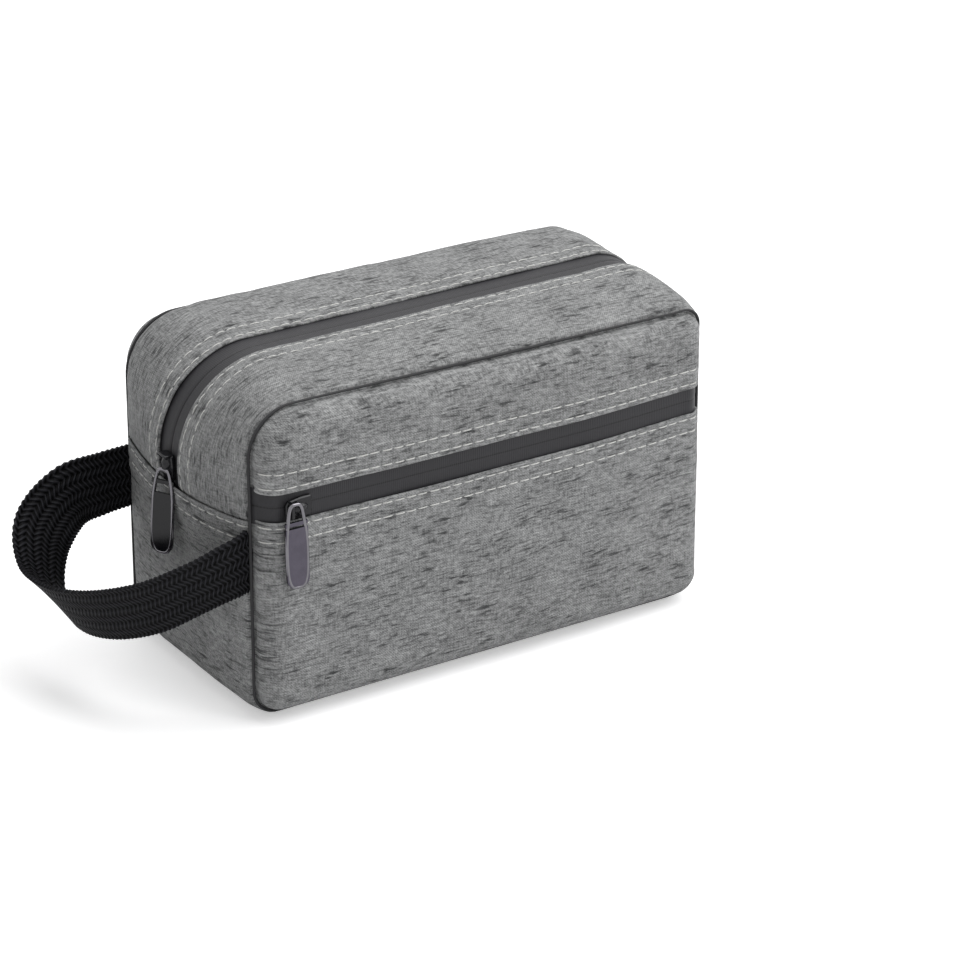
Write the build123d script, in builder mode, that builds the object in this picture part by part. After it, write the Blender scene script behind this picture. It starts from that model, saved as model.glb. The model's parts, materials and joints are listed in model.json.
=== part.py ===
from build123d import *

import math
import os
from functools import lru_cache

# Fabric toiletry bag: a padded box with a zipped mouth over its top and ends, a zipped front pocket
# and a webbing loop. Millimetres, +Z up. The origin is the centre of the base, the front faces -Y
# and the webbing loop is on the -X end. Each fabric layer is a slice between two insets of the same
# outer form, so every layer follows the one outside it.

# Bag form, measured at the seams that join the front and back panels to the gusset
seam_half_length = 120.0
seam_bottom = 2.5
seam_top = 149.0
seam_corner_top = 22.0
seam_corner_bottom = 12.5
half_depth = 55.0
# Gusset crown: the bag's X-Z outline at the middle of its depth, past the seams by these bulges
crown_foot_bulge = 1.0
crown_end_bulge = 13.0
crown_top_bulge = 7.0
crown_half_length_bottom = seam_half_length + crown_foot_bulge
crown_half_length_top = seam_half_length + crown_end_bulge
crown_top = seam_top + crown_top_bulge
crown_corner_top = 46.0
crown_corner_bottom = 15.0
# How far in from each seam the gusset goes on rising, at the top, at the ends and under the base
crown_run_top = 16.0
crown_run_end = 25.0
crown_run_base = 5.0
# Front and back panels stand proud of the seam like a pillow
pillow_depth = 11.0
pillow_edge_radius = 10.0

# Layers of the wall
fabric_thickness = 1.0
layer_gap = 0.1
tape_thickness = 0.6
coil_thickness = 1.4
padding_thickness = 1.0
lining_thickness = 0.4
binding_thickness = 1.0
binding_width = 7.0
inner_wall_thickness = 0.8

# Zips
zip_band = 13.0
zip_slit = 1.2
tape_half_width = 14.0
coil_half_width = 3.1
pocket_zip_height = 105.5
mouth_zip_end = 98.5
zip_end_tuck = 9.0

# Heights of the folds
fold_above_pocket_zip = 9.5
fold_gap = 0.3
hem_height = 12.0
hem_thickness = 0.6
hem_short_of_seam = 3.0
padding_short_of_fold = 1.0
lining_clear_of_zip = 16.0

# Sliders and pulls
slider_length = 13.0
slider_front_width = 9.4
slider_rear_width = 7.0
slider_plate = 1.5
slider_lower_plate = 1.1
slider_gap = 0.25
slider_lower_gap = 0.6
slider_neck = 0.6
slider_neck_length = 4.2
slider_neck_x = 2.6
slider_flange = 1.0
slider_flange_short = 4.0
slider_flange_x = 0.5
slider_shoulder_x = 1.0
slider_rear_corner = 2.4
slider_shoulder_corner = 1.5
slider_front_corner = 0.8
slider_lower_grow = 0.3
slider_edge = 0.5
crown_width = 3.4
crown_bar = 1.4
crown_window = 2.4
crown_post_radius = 1.1
crown_post_x = -3.2
crown_leg_x = 1.3
crown_front_x = 4.2
crown_overhang = 0.7
crown_leg_inset = 0.3
crown_edge = 0.6
pull_ring_inner = 2.6
pull_ring_outer = 3.9
pull_hole_corner = 1.6
pull_thickness = 1.3
pull_window_length = 4.2
pull_length = 40.0
pull_half_width = 5.4
pull_recess = 0.3
pull_rim = 1.0
pull_shoulder_drop = 6.0
pull_shoulder_inset = 0.5
pull_panel_drop = 3.0
pull_panel_inset = 0.8
pull_panel_edge = 1.0
pocket_slider_x = -101.0
mouth_slider_angle = -4.4

# Webbing loop
webbing_width = 30.0
webbing_thickness = 1.8
webbing_below_hem = 18.5
webbing_height = mouth_zip_end - webbing_below_hem
webbing_tuck = 5.0
webbing_flex_x = -128.0
webbing_reach = 60.0
webbing_droop = 34.0
webbing_shoulder = 1.6
webbing_clearance = 0.1

# Distances from the outer surface down to each layer
tape_top = fabric_thickness + layer_gap
tape_bottom = tape_top + tape_thickness
coil_top = tape_bottom + layer_gap
coil_bottom = coil_top + coil_thickness
padding_top = fabric_thickness + layer_gap
padding_bottom = padding_top + padding_thickness
lining_top = padding_bottom + layer_gap
lining_bottom = lining_top + lining_thickness
binding_top = lining_bottom + layer_gap
binding_bottom = binding_top + binding_thickness

far = 400.0
zip_half = zip_band / 2
slit_half = zip_slit / 2
pocket_zip_low = pocket_zip_height - zip_half
pocket_zip_high = pocket_zip_height + zip_half
fold_height = pocket_zip_high + fold_above_pocket_zip


def rounded_trapezium(half_low, low, half_high, high, corner_low, corner_high):
    """A face with a level base and top, equal leaning sides and rounded corners."""
    with BuildSketch() as face:
        with BuildLine():
            FilletPolyline(
                (-half_low, low), (half_low, low), (half_high, high), (-half_high, high),
                radius=[corner_low, corner_low, corner_high, corner_high],
                close=True,
            )
        make_face()
    return face.sketch


def arc_radius(run, rise):
    """The radius of an arc that starts level and falls by rise over run."""
    return (run**2 + rise**2) / (2 * rise)


def seam_outline(inset):
    """The X-Z outline of the front and back seams, taken in by inset."""
    side = seam_half_length - inset
    corner_low, corner_high = seam_corner_bottom - inset, seam_corner_top - inset
    return rounded_trapezium(side, seam_bottom + inset, side, seam_top - inset, corner_low, corner_high)


def crown_outline(inset):
    """The bag's X-Z outline at the middle of its depth, taken in by inset."""
    lean = (crown_half_length_top - crown_half_length_bottom) / crown_top
    shift = inset * math.hypot(1, lean)
    half_low = crown_half_length_bottom + inset * lean - shift
    half_high = crown_half_length_top - inset * lean - shift
    corner_low, corner_high = crown_corner_bottom - inset, crown_corner_top - inset
    return rounded_trapezium(half_low, inset, half_high, crown_top - inset, corner_low, corner_high)


def side_outline(inset):
    """The bag's Y-Z outline, taken in by inset: level, then round towards the seams that cut it off."""
    radius_low = arc_radius(crown_run_base, seam_bottom)
    radius_high = arc_radius(crown_run_top, crown_top - seam_top)
    half_low = half_depth - crown_run_base + radius_low - inset
    half_high = half_depth - crown_run_top + radius_high - inset
    corner_low, corner_high = radius_low - inset, radius_high - inset
    return rounded_trapezium(half_low, inset, half_high, crown_top - inset, corner_low, corner_high)


def plan_outline(inset):
    """The bag's X-Y outline, taken in by inset: straight, then round towards the seams."""
    radius = arc_radius(crown_run_end, crown_half_length_top - seam_half_length)
    half_length = crown_half_length_top - inset
    half_width = half_depth - crown_run_end + radius - inset
    with BuildSketch() as face:
        RectangleRounded(2 * half_length, 2 * half_width, radius - inset)
    return face.sketch


@lru_cache(maxsize=None)
def form(inset):
    """The bag between its two seams, where its three outlines meet, taken in by inset."""
    with BuildPart() as body:
        with BuildSketch(Plane.XZ):
            add(crown_outline(inset))
        extrude(amount=half_depth, both=True)
        with BuildSketch(Plane.YZ):
            add(side_outline(inset))
        extrude(amount=far, both=True, mode=Mode.INTERSECT)
        with BuildSketch(Plane.XY):
            add(plan_outline(inset))
        extrude(amount=far, both=True, mode=Mode.INTERSECT)
    return body.part


@lru_cache(maxsize=None)
def pillow(inset):
    """The front panel's pillow in front of the seam plane, taken in by inset."""
    with BuildPart() as body:
        with BuildSketch(Plane.XZ.offset(half_depth)):
            add(seam_outline(inset))
        extrude(amount=pillow_depth - inset)
        fillet(body.faces().sort_by(Axis.Y)[0].edges(), pillow_edge_radius - inset)
    return body.part


def slab(low, high):
    """A box between two corners, as a cutter."""
    size = [b - a for a, b in zip(low, high)]
    centre = [(a + b) / 2 for a, b in zip(low, high)]
    with BuildPart() as cutter:
        with Locations(tuple(centre)):
            Box(*size)
    return cutter.part


def gusset_layer(outer, inner, y, z, x=(-far, far)):
    """A layer of the gusset between two insets, kept inside ranges of X, Y and Z."""
    with BuildPart() as layer:
        add(form(outer))
        add(form(inner), mode=Mode.SUBTRACT)
        add(slab((x[0], y[0], z[0]), (x[1], y[1], z[1])), mode=Mode.INTERSECT)
    return layer.part


def panel_layer(outer, inner, z, back=False, y_end=-half_depth):
    """A layer of the front panel's pillow, or the back's, between two insets and two heights."""
    with BuildPart() as layer:
        add(pillow(outer))
        add(pillow(inner), mode=Mode.SUBTRACT)
        add(slab((-far, -far, z[0]), (far, y_end, z[1])), mode=Mode.INTERSECT)
    return mirrored(layer.part) if back else layer.part


def mirrored(part):
    """The same piece on the back half of the bag."""
    with BuildPart() as other:
        add(part.mirror(Plane.XZ))
    return other.part


def save(part, name):
    """Labels a piece and writes it as its own node."""
    part.label = name
    export_step(part, f"parts/{name}.step")


os.makedirs("parts", exist_ok=True)
below_fold = (-far, fold_height)
above_fold = (fold_height + fold_gap, far)

# Webbing slots: the loop's two ends are sewn into the end seams of the gusset
slot_half = webbing_width / 2 + webbing_clearance
slot_deep = webbing_thickness + webbing_clearance
slot_end = -seam_half_length + webbing_tuck + webbing_clearance
front_slot = slab(
    (-far, -far, webbing_height - slot_half),
    (slot_end, -half_depth + slot_deep, webbing_height + slot_half),
)
back_slot = mirrored(front_slot)


def cut_for_webbing(part):
    """The same piece with both webbing slots cut out of it."""
    with BuildPart() as slotted:
        add(part)
        add(front_slot, mode=Mode.SUBTRACT)
        add(back_slot, mode=Mode.SUBTRACT)
    return slotted.part


# Front panel, pocket panel and back panel
save(panel_layer(0, fabric_thickness, (-far, pocket_zip_low)), "pocket_panel")
save(panel_layer(0, fabric_thickness, (pocket_zip_high, fold_height)), "pocket_zip_facing")
save(panel_layer(0, fabric_thickness, above_fold), "front_flap_panel")
save(panel_layer(0, fabric_thickness, below_fold, back=True), "back_panel")
save(panel_layer(0, fabric_thickness, above_fold, back=True), "back_flap_panel")
padded_height = (-far, fold_height - padding_short_of_fold)
save(panel_layer(padding_top, padding_bottom, padded_height, back=True), "back_padding")

# Lower gusset: one band that makes the base and both ends, hemmed over the ends of the mouth zip
full_depth = (-half_depth, half_depth)
base_gusset = gusset_layer(0, fabric_thickness, full_depth, (-far, mouth_zip_end))
save(cut_for_webbing(base_gusset), "base_gusset")
hem_y = (-half_depth + hem_short_of_seam, half_depth - hem_short_of_seam)
hem_z = (mouth_zip_end - hem_height, mouth_zip_end)
save(gusset_layer(-hem_thickness, 0, hem_y, hem_z, x=(-far, 0)), "gusset_hem_left")
save(gusset_layer(-hem_thickness, 0, hem_y, hem_z, x=(0, far)), "gusset_hem_right")
padding_end = mouth_zip_end - zip_end_tuck - padding_short_of_fold
padding_y = (-half_depth + inner_wall_thickness + layer_gap, half_depth)
base_padding = gusset_layer(padding_top, padding_bottom, padding_y, (-far, padding_end))
save(cut_for_webbing(base_padding), "base_padding")

# Upper gusset: a front and a back strip with the mouth zip between them, folding where the mouth opens
strip_y = (-half_depth, -zip_half)
foot_front = gusset_layer(0, fabric_thickness, strip_y, (mouth_zip_end, fold_height))
strip_front = gusset_layer(0, fabric_thickness, strip_y, above_fold)
save(foot_front, "gusset_foot_front")
save(mirrored(foot_front), "gusset_foot_back")
save(strip_front, "top_gusset_front")
save(mirrored(strip_front), "top_gusset_back")

# Mouth zip: tapes and coils, below and above the fold
tape_y = (-tape_half_width, -slit_half)
coil_y = (-coil_half_width, -slit_half)
tape_foot = gusset_layer(tape_top, tape_bottom, tape_y, (mouth_zip_end - zip_end_tuck, fold_height))
tape_arch = gusset_layer(tape_top, tape_bottom, tape_y, above_fold)
coil_foot = gusset_layer(coil_top, coil_bottom, coil_y, (mouth_zip_end, fold_height))
coil_arch = gusset_layer(coil_top, coil_bottom, coil_y, above_fold)
save(tape_foot, "mouth_zip_foot_tape_front")
save(mirrored(tape_foot), "mouth_zip_foot_tape_back")
save(tape_arch, "mouth_zip_tape_front")
save(mirrored(tape_arch), "mouth_zip_tape_back")
save(coil_foot, "mouth_zip_foot_coil_front")
save(mirrored(coil_foot), "mouth_zip_foot_coil_back")
save(coil_arch, "mouth_zip_coil_front")
save(mirrored(coil_arch), "mouth_zip_coil_back")

# Pocket zip: straight across the front
for name, side in (("upper", 1), ("lower", -1)):
    tape_z = sorted(pocket_zip_height + side * d for d in (slit_half, tape_half_width))
    coil_z = sorted(pocket_zip_height + side * d for d in (slit_half, coil_half_width))
    save(panel_layer(tape_top, tape_bottom, tape_z), f"pocket_zip_tape_{name}")
    save(panel_layer(coil_top, coil_bottom, coil_z), f"pocket_zip_coil_{name}")

# Pocket's back wall, closing the front of the bag behind the pocket
with BuildPart() as pocket_back_wall:
    with BuildSketch(Plane.XZ.offset(half_depth)):
        add(seam_outline(padding_bottom + layer_gap))
    extrude(amount=-inner_wall_thickness)
    add(slab((-far, -far, -far), (far, far, fold_height)), mode=Mode.INTERSECT)
save(cut_for_webbing(pocket_back_wall.part), "pocket_back_wall")

# Lining: a thin tub inside the padding, cut back round the mouth zip, and one cap in each half of the mouth
lining_y = half_depth - inner_wall_thickness - layer_gap
with BuildPart() as lining_tub:
    add(form(lining_top))
    add(slab((-far, -lining_y, -far), (far, lining_y, fold_height)), mode=Mode.INTERSECT)
    with BuildPart(mode=Mode.PRIVATE) as hollow:
        add(form(lining_bottom))
        inner_y = lining_y - lining_thickness
        add(slab((-far, -inner_y, -far), (far, inner_y, far)), mode=Mode.INTERSECT)
    add(hollow.part, mode=Mode.SUBTRACT)
    add(
        slab((-far, -lining_clear_of_zip, padding_end), (far, lining_clear_of_zip, far)),
        mode=Mode.SUBTRACT,
    )
save(cut_for_webbing(lining_tub.part), "lining_tub")
with BuildPart() as flap_lining:
    add(form(lining_top))
    add(slab((-far, -lining_y, above_fold[0]), (far, -lining_clear_of_zip, far)), mode=Mode.INTERSECT)
    add(hollow.part, mode=Mode.SUBTRACT)
save(flap_lining.part, "front_flap_lining")
save(mirrored(flap_lining.part), "back_flap_lining")

# Binding tape folded over the raw seam edges inside
binding_edge = -lining_y + lining_thickness + layer_gap
binding_y = (binding_edge, binding_edge + binding_width)
binding_low = gusset_layer(binding_top, binding_bottom, binding_y, below_fold)
binding_high = gusset_layer(binding_top, binding_bottom, binding_y, above_fold)
save(cut_for_webbing(binding_low), "front_seam_binding")
save(cut_for_webbing(mirrored(binding_low)), "back_seam_binding")
save(binding_high, "front_flap_binding")
save(mirrored(binding_high), "back_flap_binding")

# Zip sliders: x is along the travel, y across the tape and z = 0 on the tape's outer face
plate_top = slider_gap + slider_plate
bar_low = plate_top + crown_window
bar_high = bar_low + crown_bar
coil_depth = coil_bottom - tape_top
lower_plate_top = -coil_depth - slider_lower_gap
half_length = slider_length / 2
plate_corners = [slider_rear_corner, slider_shoulder_corner, slider_front_corner]


def plate_outline(grow):
    """The slider's plate seen from above: wide and square in front, narrower and rounded behind."""
    front = slider_front_width / 2 + grow
    rear = slider_rear_width / 2 + grow
    with BuildSketch() as plate:
        with BuildLine():
            FilletPolyline(
                (-half_length, -rear), (slider_shoulder_x, -front), (half_length, -front),
                (half_length, front), (slider_shoulder_x, front), (-half_length, rear),
                radius=plate_corners + plate_corners[::-1],
                close=True,
            )
        make_face()
    return plate.sketch


def slider_body(plane):
    """Two plates either side of the tapes, joined by the neck that parts them."""
    flange_foot = -tape_thickness - slider_gap
    flange_y = coil_half_width + slider_gap + slider_flange / 2
    with BuildPart() as body:
        with BuildSketch(plane.offset(slider_gap)):
            add(plate_outline(0))
        extrude(amount=slider_plate)
        top_edges = body.faces().sort_by(Axis(plane.origin, plane.z_dir))[-1].edges()
        chamfer(top_edges, slider_edge)
        with BuildSketch(plane.offset(lower_plate_top - slider_lower_plate)):
            add(plate_outline(slider_lower_grow))
        extrude(amount=slider_lower_plate)
        with BuildSketch(plane.offset(lower_plate_top)):
            with Locations((slider_flange_x, flange_y), (slider_flange_x, -flange_y)):
                Rectangle(slider_length - slider_flange_short, slider_flange)
        extrude(amount=flange_foot - lower_plate_top)
        with BuildSketch(plane.offset(lower_plate_top)):
            with Locations((slider_neck_x, 0)):
                SlotOverall(slider_neck_length, slider_neck)
        extrude(amount=slider_gap - lower_plate_top)
    return body.part


def slider_crown(plane):
    """The bridge over the slider that the pull hangs in: a bar, a round post behind and a leg in front."""
    bar_rear_x = crown_post_x - 2 * crown_overhang
    leg_front_x = crown_front_x - 2 * crown_leg_inset
    with BuildPart() as crown:
        with BuildSketch(plane.offset(bar_low)):
            with Locations(((bar_rear_x + crown_front_x) / 2, 0)):
                SlotOverall(crown_front_x - bar_rear_x, crown_width)
        extrude(amount=crown_bar)
        top = crown.faces().sort_by(Axis(plane.origin, plane.z_dir))[-1]
        fillet(top.edges(), crown_edge)
        with BuildSketch(plane.offset(plate_top)):
            with Locations((crown_post_x, 0)):
                Circle(crown_post_radius)
            with Locations(((crown_leg_x + leg_front_x) / 2, 0)):
                Rectangle(leg_front_x - crown_leg_x, crown_width - 2 * crown_leg_inset)
        extrude(amount=crown_window)
    return crown.part


def pull(plane):
    """A cast pull hanging along -y from its ring, whose centre is the plane's origin at the back face."""
    reach = pull_length - pull_half_width
    panel_half_width = pull_half_width - pull_rim
    hole_length = pull_ring_inner + pull_window_length
    with BuildPart() as body:
        with BuildSketch(plane):
            Circle(pull_ring_outer)
            with Locations((0, -reach)):
                Circle(pull_half_width)
            with Locations((0, -pull_window_length - pull_shoulder_drop)):
                Circle(pull_half_width - pull_shoulder_inset)
            make_hull()
        extrude(amount=pull_thickness)
        with BuildSketch(plane.offset(pull_thickness - pull_recess)):
            with Locations((0, -reach)):
                Circle(panel_half_width)
            with Locations((0, -pull_window_length - pull_panel_drop)):
                Rectangle(2 * (panel_half_width - pull_panel_inset), pull_panel_edge)
            make_hull()
        extrude(amount=pull_recess, mode=Mode.SUBTRACT)
        with BuildSketch(plane):
            with Locations((0, (pull_ring_inner - pull_window_length) / 2)):
                RectangleRounded(2 * pull_ring_inner, hole_length, pull_hole_corner)
        extrude(amount=pull_thickness, mode=Mode.SUBTRACT)
    return body.part


# Pocket slider, near the left end of its zip, with its pull hanging from the crown's post
pocket_face = -half_depth - pillow_depth + tape_top
pocket_plane = Plane(
    origin=(pocket_slider_x, pocket_face, pocket_zip_height), x_dir=(1, 0, 0), z_dir=(0, -1, 0)
)
pull_lift = plate_top + (crown_window - pull_thickness) / 2
pocket_pull_plane = Plane(
    origin=(pocket_slider_x + crown_post_x, pocket_face - pull_lift, pocket_zip_height),
    x_dir=(1, 0, 0),
    z_dir=(0, -1, 0),
)
save(slider_body(pocket_plane), "pocket_slider_body")
save(slider_crown(pocket_plane), "pocket_slider_crown")
save(pull(pocket_pull_plane), "pocket_pull")

# Mouth slider, on the round corner of the left end; its travel turns about the corner's centre
crown_lean = math.atan((crown_half_length_top - crown_half_length_bottom) / crown_top)
corner_x = -crown_half_length_top + crown_corner_top / math.tan((math.pi / 2 - crown_lean) / 2)
corner_z = crown_top - crown_corner_top
tape_radius = crown_corner_top - tape_top
angle = math.radians(mouth_slider_angle)
outward = (-math.cos(angle), 0, math.sin(angle))
upward = (math.sin(angle), 0, math.cos(angle))
mouth_origin = (corner_x + tape_radius * outward[0], 0, corner_z + tape_radius * outward[2])
mouth_plane = Plane(origin=mouth_origin, x_dir=upward, z_dir=outward)
save(slider_body(mouth_plane), "mouth_slider_body")
save(slider_crown(mouth_plane), "mouth_slider_crown")
ring_x = (crown_post_x + crown_post_radius + crown_leg_x) / 2
ring_centre = plate_top + crown_window / 2
pivot = [mouth_origin[i] + outward[i] * ring_centre + upward[i] * ring_x for i in range(3)]
pull_drop = (pull_ring_inner + pull_ring_outer) / 2
mouth_pull_plane = Plane(
    origin=(pivot[0] + pull_thickness / 2, 0, pivot[2] - pull_drop), x_dir=(0, -1, 0), z_dir=(-1, 0, 0)
)
save(pull(mouth_pull_plane), "mouth_pull")

# Webbing loop: its ends are sewn into the seams, and the loop turns at the flex line just outside them
webbing_y = -half_depth + webbing_thickness / 2
webbing_low = webbing_height - webbing_width / 2
stub_in = -seam_half_length + webbing_tuck
stub_out = -seam_half_length - webbing_shoulder
tip_x = webbing_flex_x + fold_gap
tip_half = stub_out - tip_x
with BuildPart() as webbing_end:
    with BuildSketch(Plane.XZ.offset(half_depth - webbing_thickness)):
        with Locations(((stub_in + stub_out) / 2, webbing_height)):
            Rectangle(stub_in - stub_out, webbing_width)
        with BuildLine():
            Polyline(
                (tip_x, webbing_height), (stub_out, webbing_height - tip_half),
                (stub_out, webbing_height + tip_half), close=True,
            )
        make_face()
    extrude(amount=webbing_thickness)
save(webbing_end.part, "webbing_end_front")
save(mirrored(webbing_end.part), "webbing_end_back")
flex_line = Plane(origin=(webbing_flex_x, 0, webbing_height), x_dir=(1, 0, 0), z_dir=(0, 0, 1))
loop_plane = flex_line.rotated((0, -webbing_droop, 0))
loop_side = Plane(origin=loop_plane.origin, x_dir=loop_plane.x_dir, z_dir=(0, -1, 0))
with BuildPart() as webbing_loop:
    with BuildSketch(loop_plane):
        Ellipse(webbing_reach, half_depth)
        Ellipse(webbing_reach - webbing_thickness, half_depth - webbing_thickness, mode=Mode.SUBTRACT)
        with Locations((far / 2, 0)):
            Rectangle(far, far, mode=Mode.SUBTRACT)
    extrude(amount=webbing_width / 2, both=True)
    with BuildSketch(loop_side):
        SlotCenterToCenter(2 * webbing_reach, webbing_width)
        with Locations((-webbing_reach - webbing_width / 2, 0)):
            SlotOverall(2 * webbing_reach + webbing_width, webbing_width, mode=Mode.REPLACE)
    extrude(amount=far, both=True, mode=Mode.INTERSECT)
save(webbing_loop.part, "webbing_loop")
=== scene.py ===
"""Looks of a padded fabric toiletry bag with two coated zips, metal pulls and a webbing loop.

Metres, +Z up. The origin is the centre of the base, the front faces -Y and the webbing loop is on the -X end.
"""

from __future__ import annotations

import json
import logging
import math
from dataclasses import dataclass, field
from enum import Enum
from typing import Callable

import bmesh
import bpy
from mathutils import Matrix, Vector, noise

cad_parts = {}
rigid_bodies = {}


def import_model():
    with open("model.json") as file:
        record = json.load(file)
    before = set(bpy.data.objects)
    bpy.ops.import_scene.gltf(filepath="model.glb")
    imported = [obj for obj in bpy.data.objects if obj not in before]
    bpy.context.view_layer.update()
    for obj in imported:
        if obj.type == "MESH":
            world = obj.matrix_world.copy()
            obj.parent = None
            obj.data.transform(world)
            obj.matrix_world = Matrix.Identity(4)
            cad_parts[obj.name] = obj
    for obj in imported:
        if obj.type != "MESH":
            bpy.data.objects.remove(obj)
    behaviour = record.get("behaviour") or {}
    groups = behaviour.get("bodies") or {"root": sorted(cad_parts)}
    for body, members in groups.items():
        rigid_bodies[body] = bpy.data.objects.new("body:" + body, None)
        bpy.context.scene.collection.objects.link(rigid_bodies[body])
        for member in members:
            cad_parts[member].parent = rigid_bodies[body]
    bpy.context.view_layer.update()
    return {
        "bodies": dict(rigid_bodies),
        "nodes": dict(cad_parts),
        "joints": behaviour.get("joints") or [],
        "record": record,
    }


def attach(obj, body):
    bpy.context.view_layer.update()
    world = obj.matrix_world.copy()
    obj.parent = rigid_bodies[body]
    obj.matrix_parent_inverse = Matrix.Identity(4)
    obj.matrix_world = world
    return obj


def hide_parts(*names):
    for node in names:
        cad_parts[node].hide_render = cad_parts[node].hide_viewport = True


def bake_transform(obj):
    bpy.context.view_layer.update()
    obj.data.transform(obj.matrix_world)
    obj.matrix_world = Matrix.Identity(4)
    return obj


log = logging.getLogger("toiletry_bag")
MM = 0.001
GOLDEN_TURN = 2.399
Placed = tuple[Vector, tuple[float, float]]


class Face(Enum):
    """The two large faces of the bag, by the sign of Y that they look along."""

    FRONT = -1
    BACK = 1


class End(Enum):
    """The two ends of the bag, by the sign of X."""

    LEFT = -1
    RIGHT = 1


class Edge(Enum):
    """A panel's lower and upper edges, by the sign of Z."""

    LOW = -1
    HIGH = 1


@dataclass(frozen=True)
class FaceShape:
    """Where one face's seam runs, in metres: its top at the middle, its top corners and its tilt."""

    seam_top: float
    corner_left: float
    corner_right: float
    tilt: float


@dataclass(frozen=True)
class BagSizes:
    """Sizes of the sewn bag, in metres."""

    seam_half_length: float = 120 * MM
    seam_bottom: float = 2.5 * MM
    seam_corner_bottom: float = 12.5 * MM
    front: FaceShape = FaceShape(149 * MM, 22 * MM, 9 * MM, 2.0 * MM)
    back: FaceShape = FaceShape(154 * MM, 26 * MM, 16 * MM, 2.0 * MM)
    half_depth: float = 55 * MM
    crown_half_bottom: float = 121 * MM
    crown_half_top: float = 133 * MM
    crown_top: float = 156 * MM
    crown_corner_left: float = 46 * MM
    crown_corner_right: float = 28 * MM
    crown_corner_bottom: float = 15 * MM
    run_base: float = 5 * MM
    run_end: float = 46 * MM
    run_top_front: float = 38 * MM
    run_top_back: float = 16 * MM
    back_swell: float = 2.6 * MM
    back_swell_rise: tuple[float, float] = (6 * MM, 36 * MM)
    back_swell_fall: tuple[float, float] = (47 * MM, 56 * MM)
    middle_height: float = 75 * MM
    pillow_depth: float = 11 * MM
    pillow_run: float = 12 * MM
    pillow_curve: float = 2.3
    pillow_swell: float = 1.5 * MM
    right_droop: float = 3.0 * MM
    droop_span: tuple[float, float] = (50 * MM, 125 * MM)
    tilt_start: float = 60 * MM
    face_plane: float = 66 * MM
    fold_blend: float = 6 * MM
    hem_blend: tuple[float, float] = (16 * MM, 44 * MM)
    zip_half: float = 6.4 * MM
    pocket_zip: float = 105.5 * MM
    hem: float = 98.5 * MM
    fold: float = 121.5 * MM
    tape_depth: float = 1.5 * MM
    tape_slit: float = 0.5 * MM
    tape_half: float = 8.5 * MM
    mouth_half: float = 8.4 * MM
    mouth_tape_half: float = 10.6 * MM
    seam_groove: float = 2.2 * MM
    seam_groove_width: float = 1.5 * MM
    # Dark tube of painted shade in each seam: its radius and how far it sits in.
    seam_shadow_radius: float = 0.75 * MM
    seam_shadow_rise: float = -0.75 * MM
    lining_depth: float = 2.7 * MM
    lining_wall: float = 53.4 * MM

    def face(self, face: Face) -> FaceShape:
        """Returns the seam's shape on one face."""
        return self.front if face is Face.FRONT else self.back

    def tape_dip(self, across: float) -> float:
        """Returns how deep the slit between a tape's halves is, at a distance from it."""
        return self.tape_slit * math.exp(-((across / self.tape_slit) ** 2))


@dataclass(frozen=True)
class StitchSizes:
    """Sizes of the lockstitch and its distances from a folded edge, in metres."""

    length: float = 5.2 * MM
    pitch: float = 6.0 * MM
    radius: float = 0.26 * MM
    rows: tuple[float, float] = (2.6 * MM, 9.4 * MM)
    dimple: float = 0.45 * MM
    dimple_width: float = 1.2 * MM


@dataclass(frozen=True)
class Unevenness:
    """The cloth's broad swells, fine ones and puckers near a seam, each as height, scale and seed."""

    broad: tuple[float, float, float]
    fine: tuple[float, float, float]
    pucker: tuple[float, float, float]
    flat_edge: float
    pucker_reach: float = 6 * MM

    def at(self, point: Vector, distance: float) -> float:
        """Returns the unevenness at a point that lies at a distance from the seam."""
        shares = (min(1.0, distance / self.flat_edge), 1.0, math.exp(-distance / self.pucker_reach))
        kinds = (self.broad, self.fine, self.pucker)
        return sum(
            height * fold_noise(point, scale, seed) * share
            for (height, scale, seed), share in zip(kinds, shares)
        )


SIZES = BagSizes()
STITCH = StitchSizes()
PANEL_UNEVEN = Unevenness(
    (0.9 * MM, 45 * MM, 3.1), (0.22 * MM, 12 * MM, 1.7), (0.35 * MM, 7 * MM, 5.3), flat_edge=15 * MM
)
BAND_UNEVEN = Unevenness(
    (0.9 * MM, 38 * MM, 7.9), (0.25 * MM, 11 * MM, 2.2), (0.4 * MM, 8 * MM, 9.1), flat_edge=12 * MM
)
FOLD_PROFILE = (
    (4 * MM, 1.7 * MM), (0.8 * MM, 1.6 * MM), (0.0, 0.9 * MM), (0.15 * MM, 0.35 * MM), (0.6 * MM, 0.05 * MM)
)
SEAM_PROFILE = ((0.1 * MM, 2.4 * MM), (0.15 * MM, 1.1 * MM), (0.5 * MM, 0.35 * MM), (1.2 * MM, 0.08 * MM))
HEM_PROFILE = (
    (6 * MM, 1.2 * MM), (1.0 * MM, 1.0 * MM), (0.0, 0.2 * MM), (0.15 * MM, -0.35 * MM), (0.6 * MM, -0.6 * MM)
)
HEM_LIFT, HEM_WIDE, HEM_FADE = 0.65 * MM, 13 * MM, 3 * MM


def ease(value: float, start: float, stop: float) -> float:
    """Returns 0 before start, 1 after stop and a smooth step between them."""
    t = max(0.0, min(1.0, (value - start) / (stop - start)))
    return t * t * (3 - 2 * t)


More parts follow.
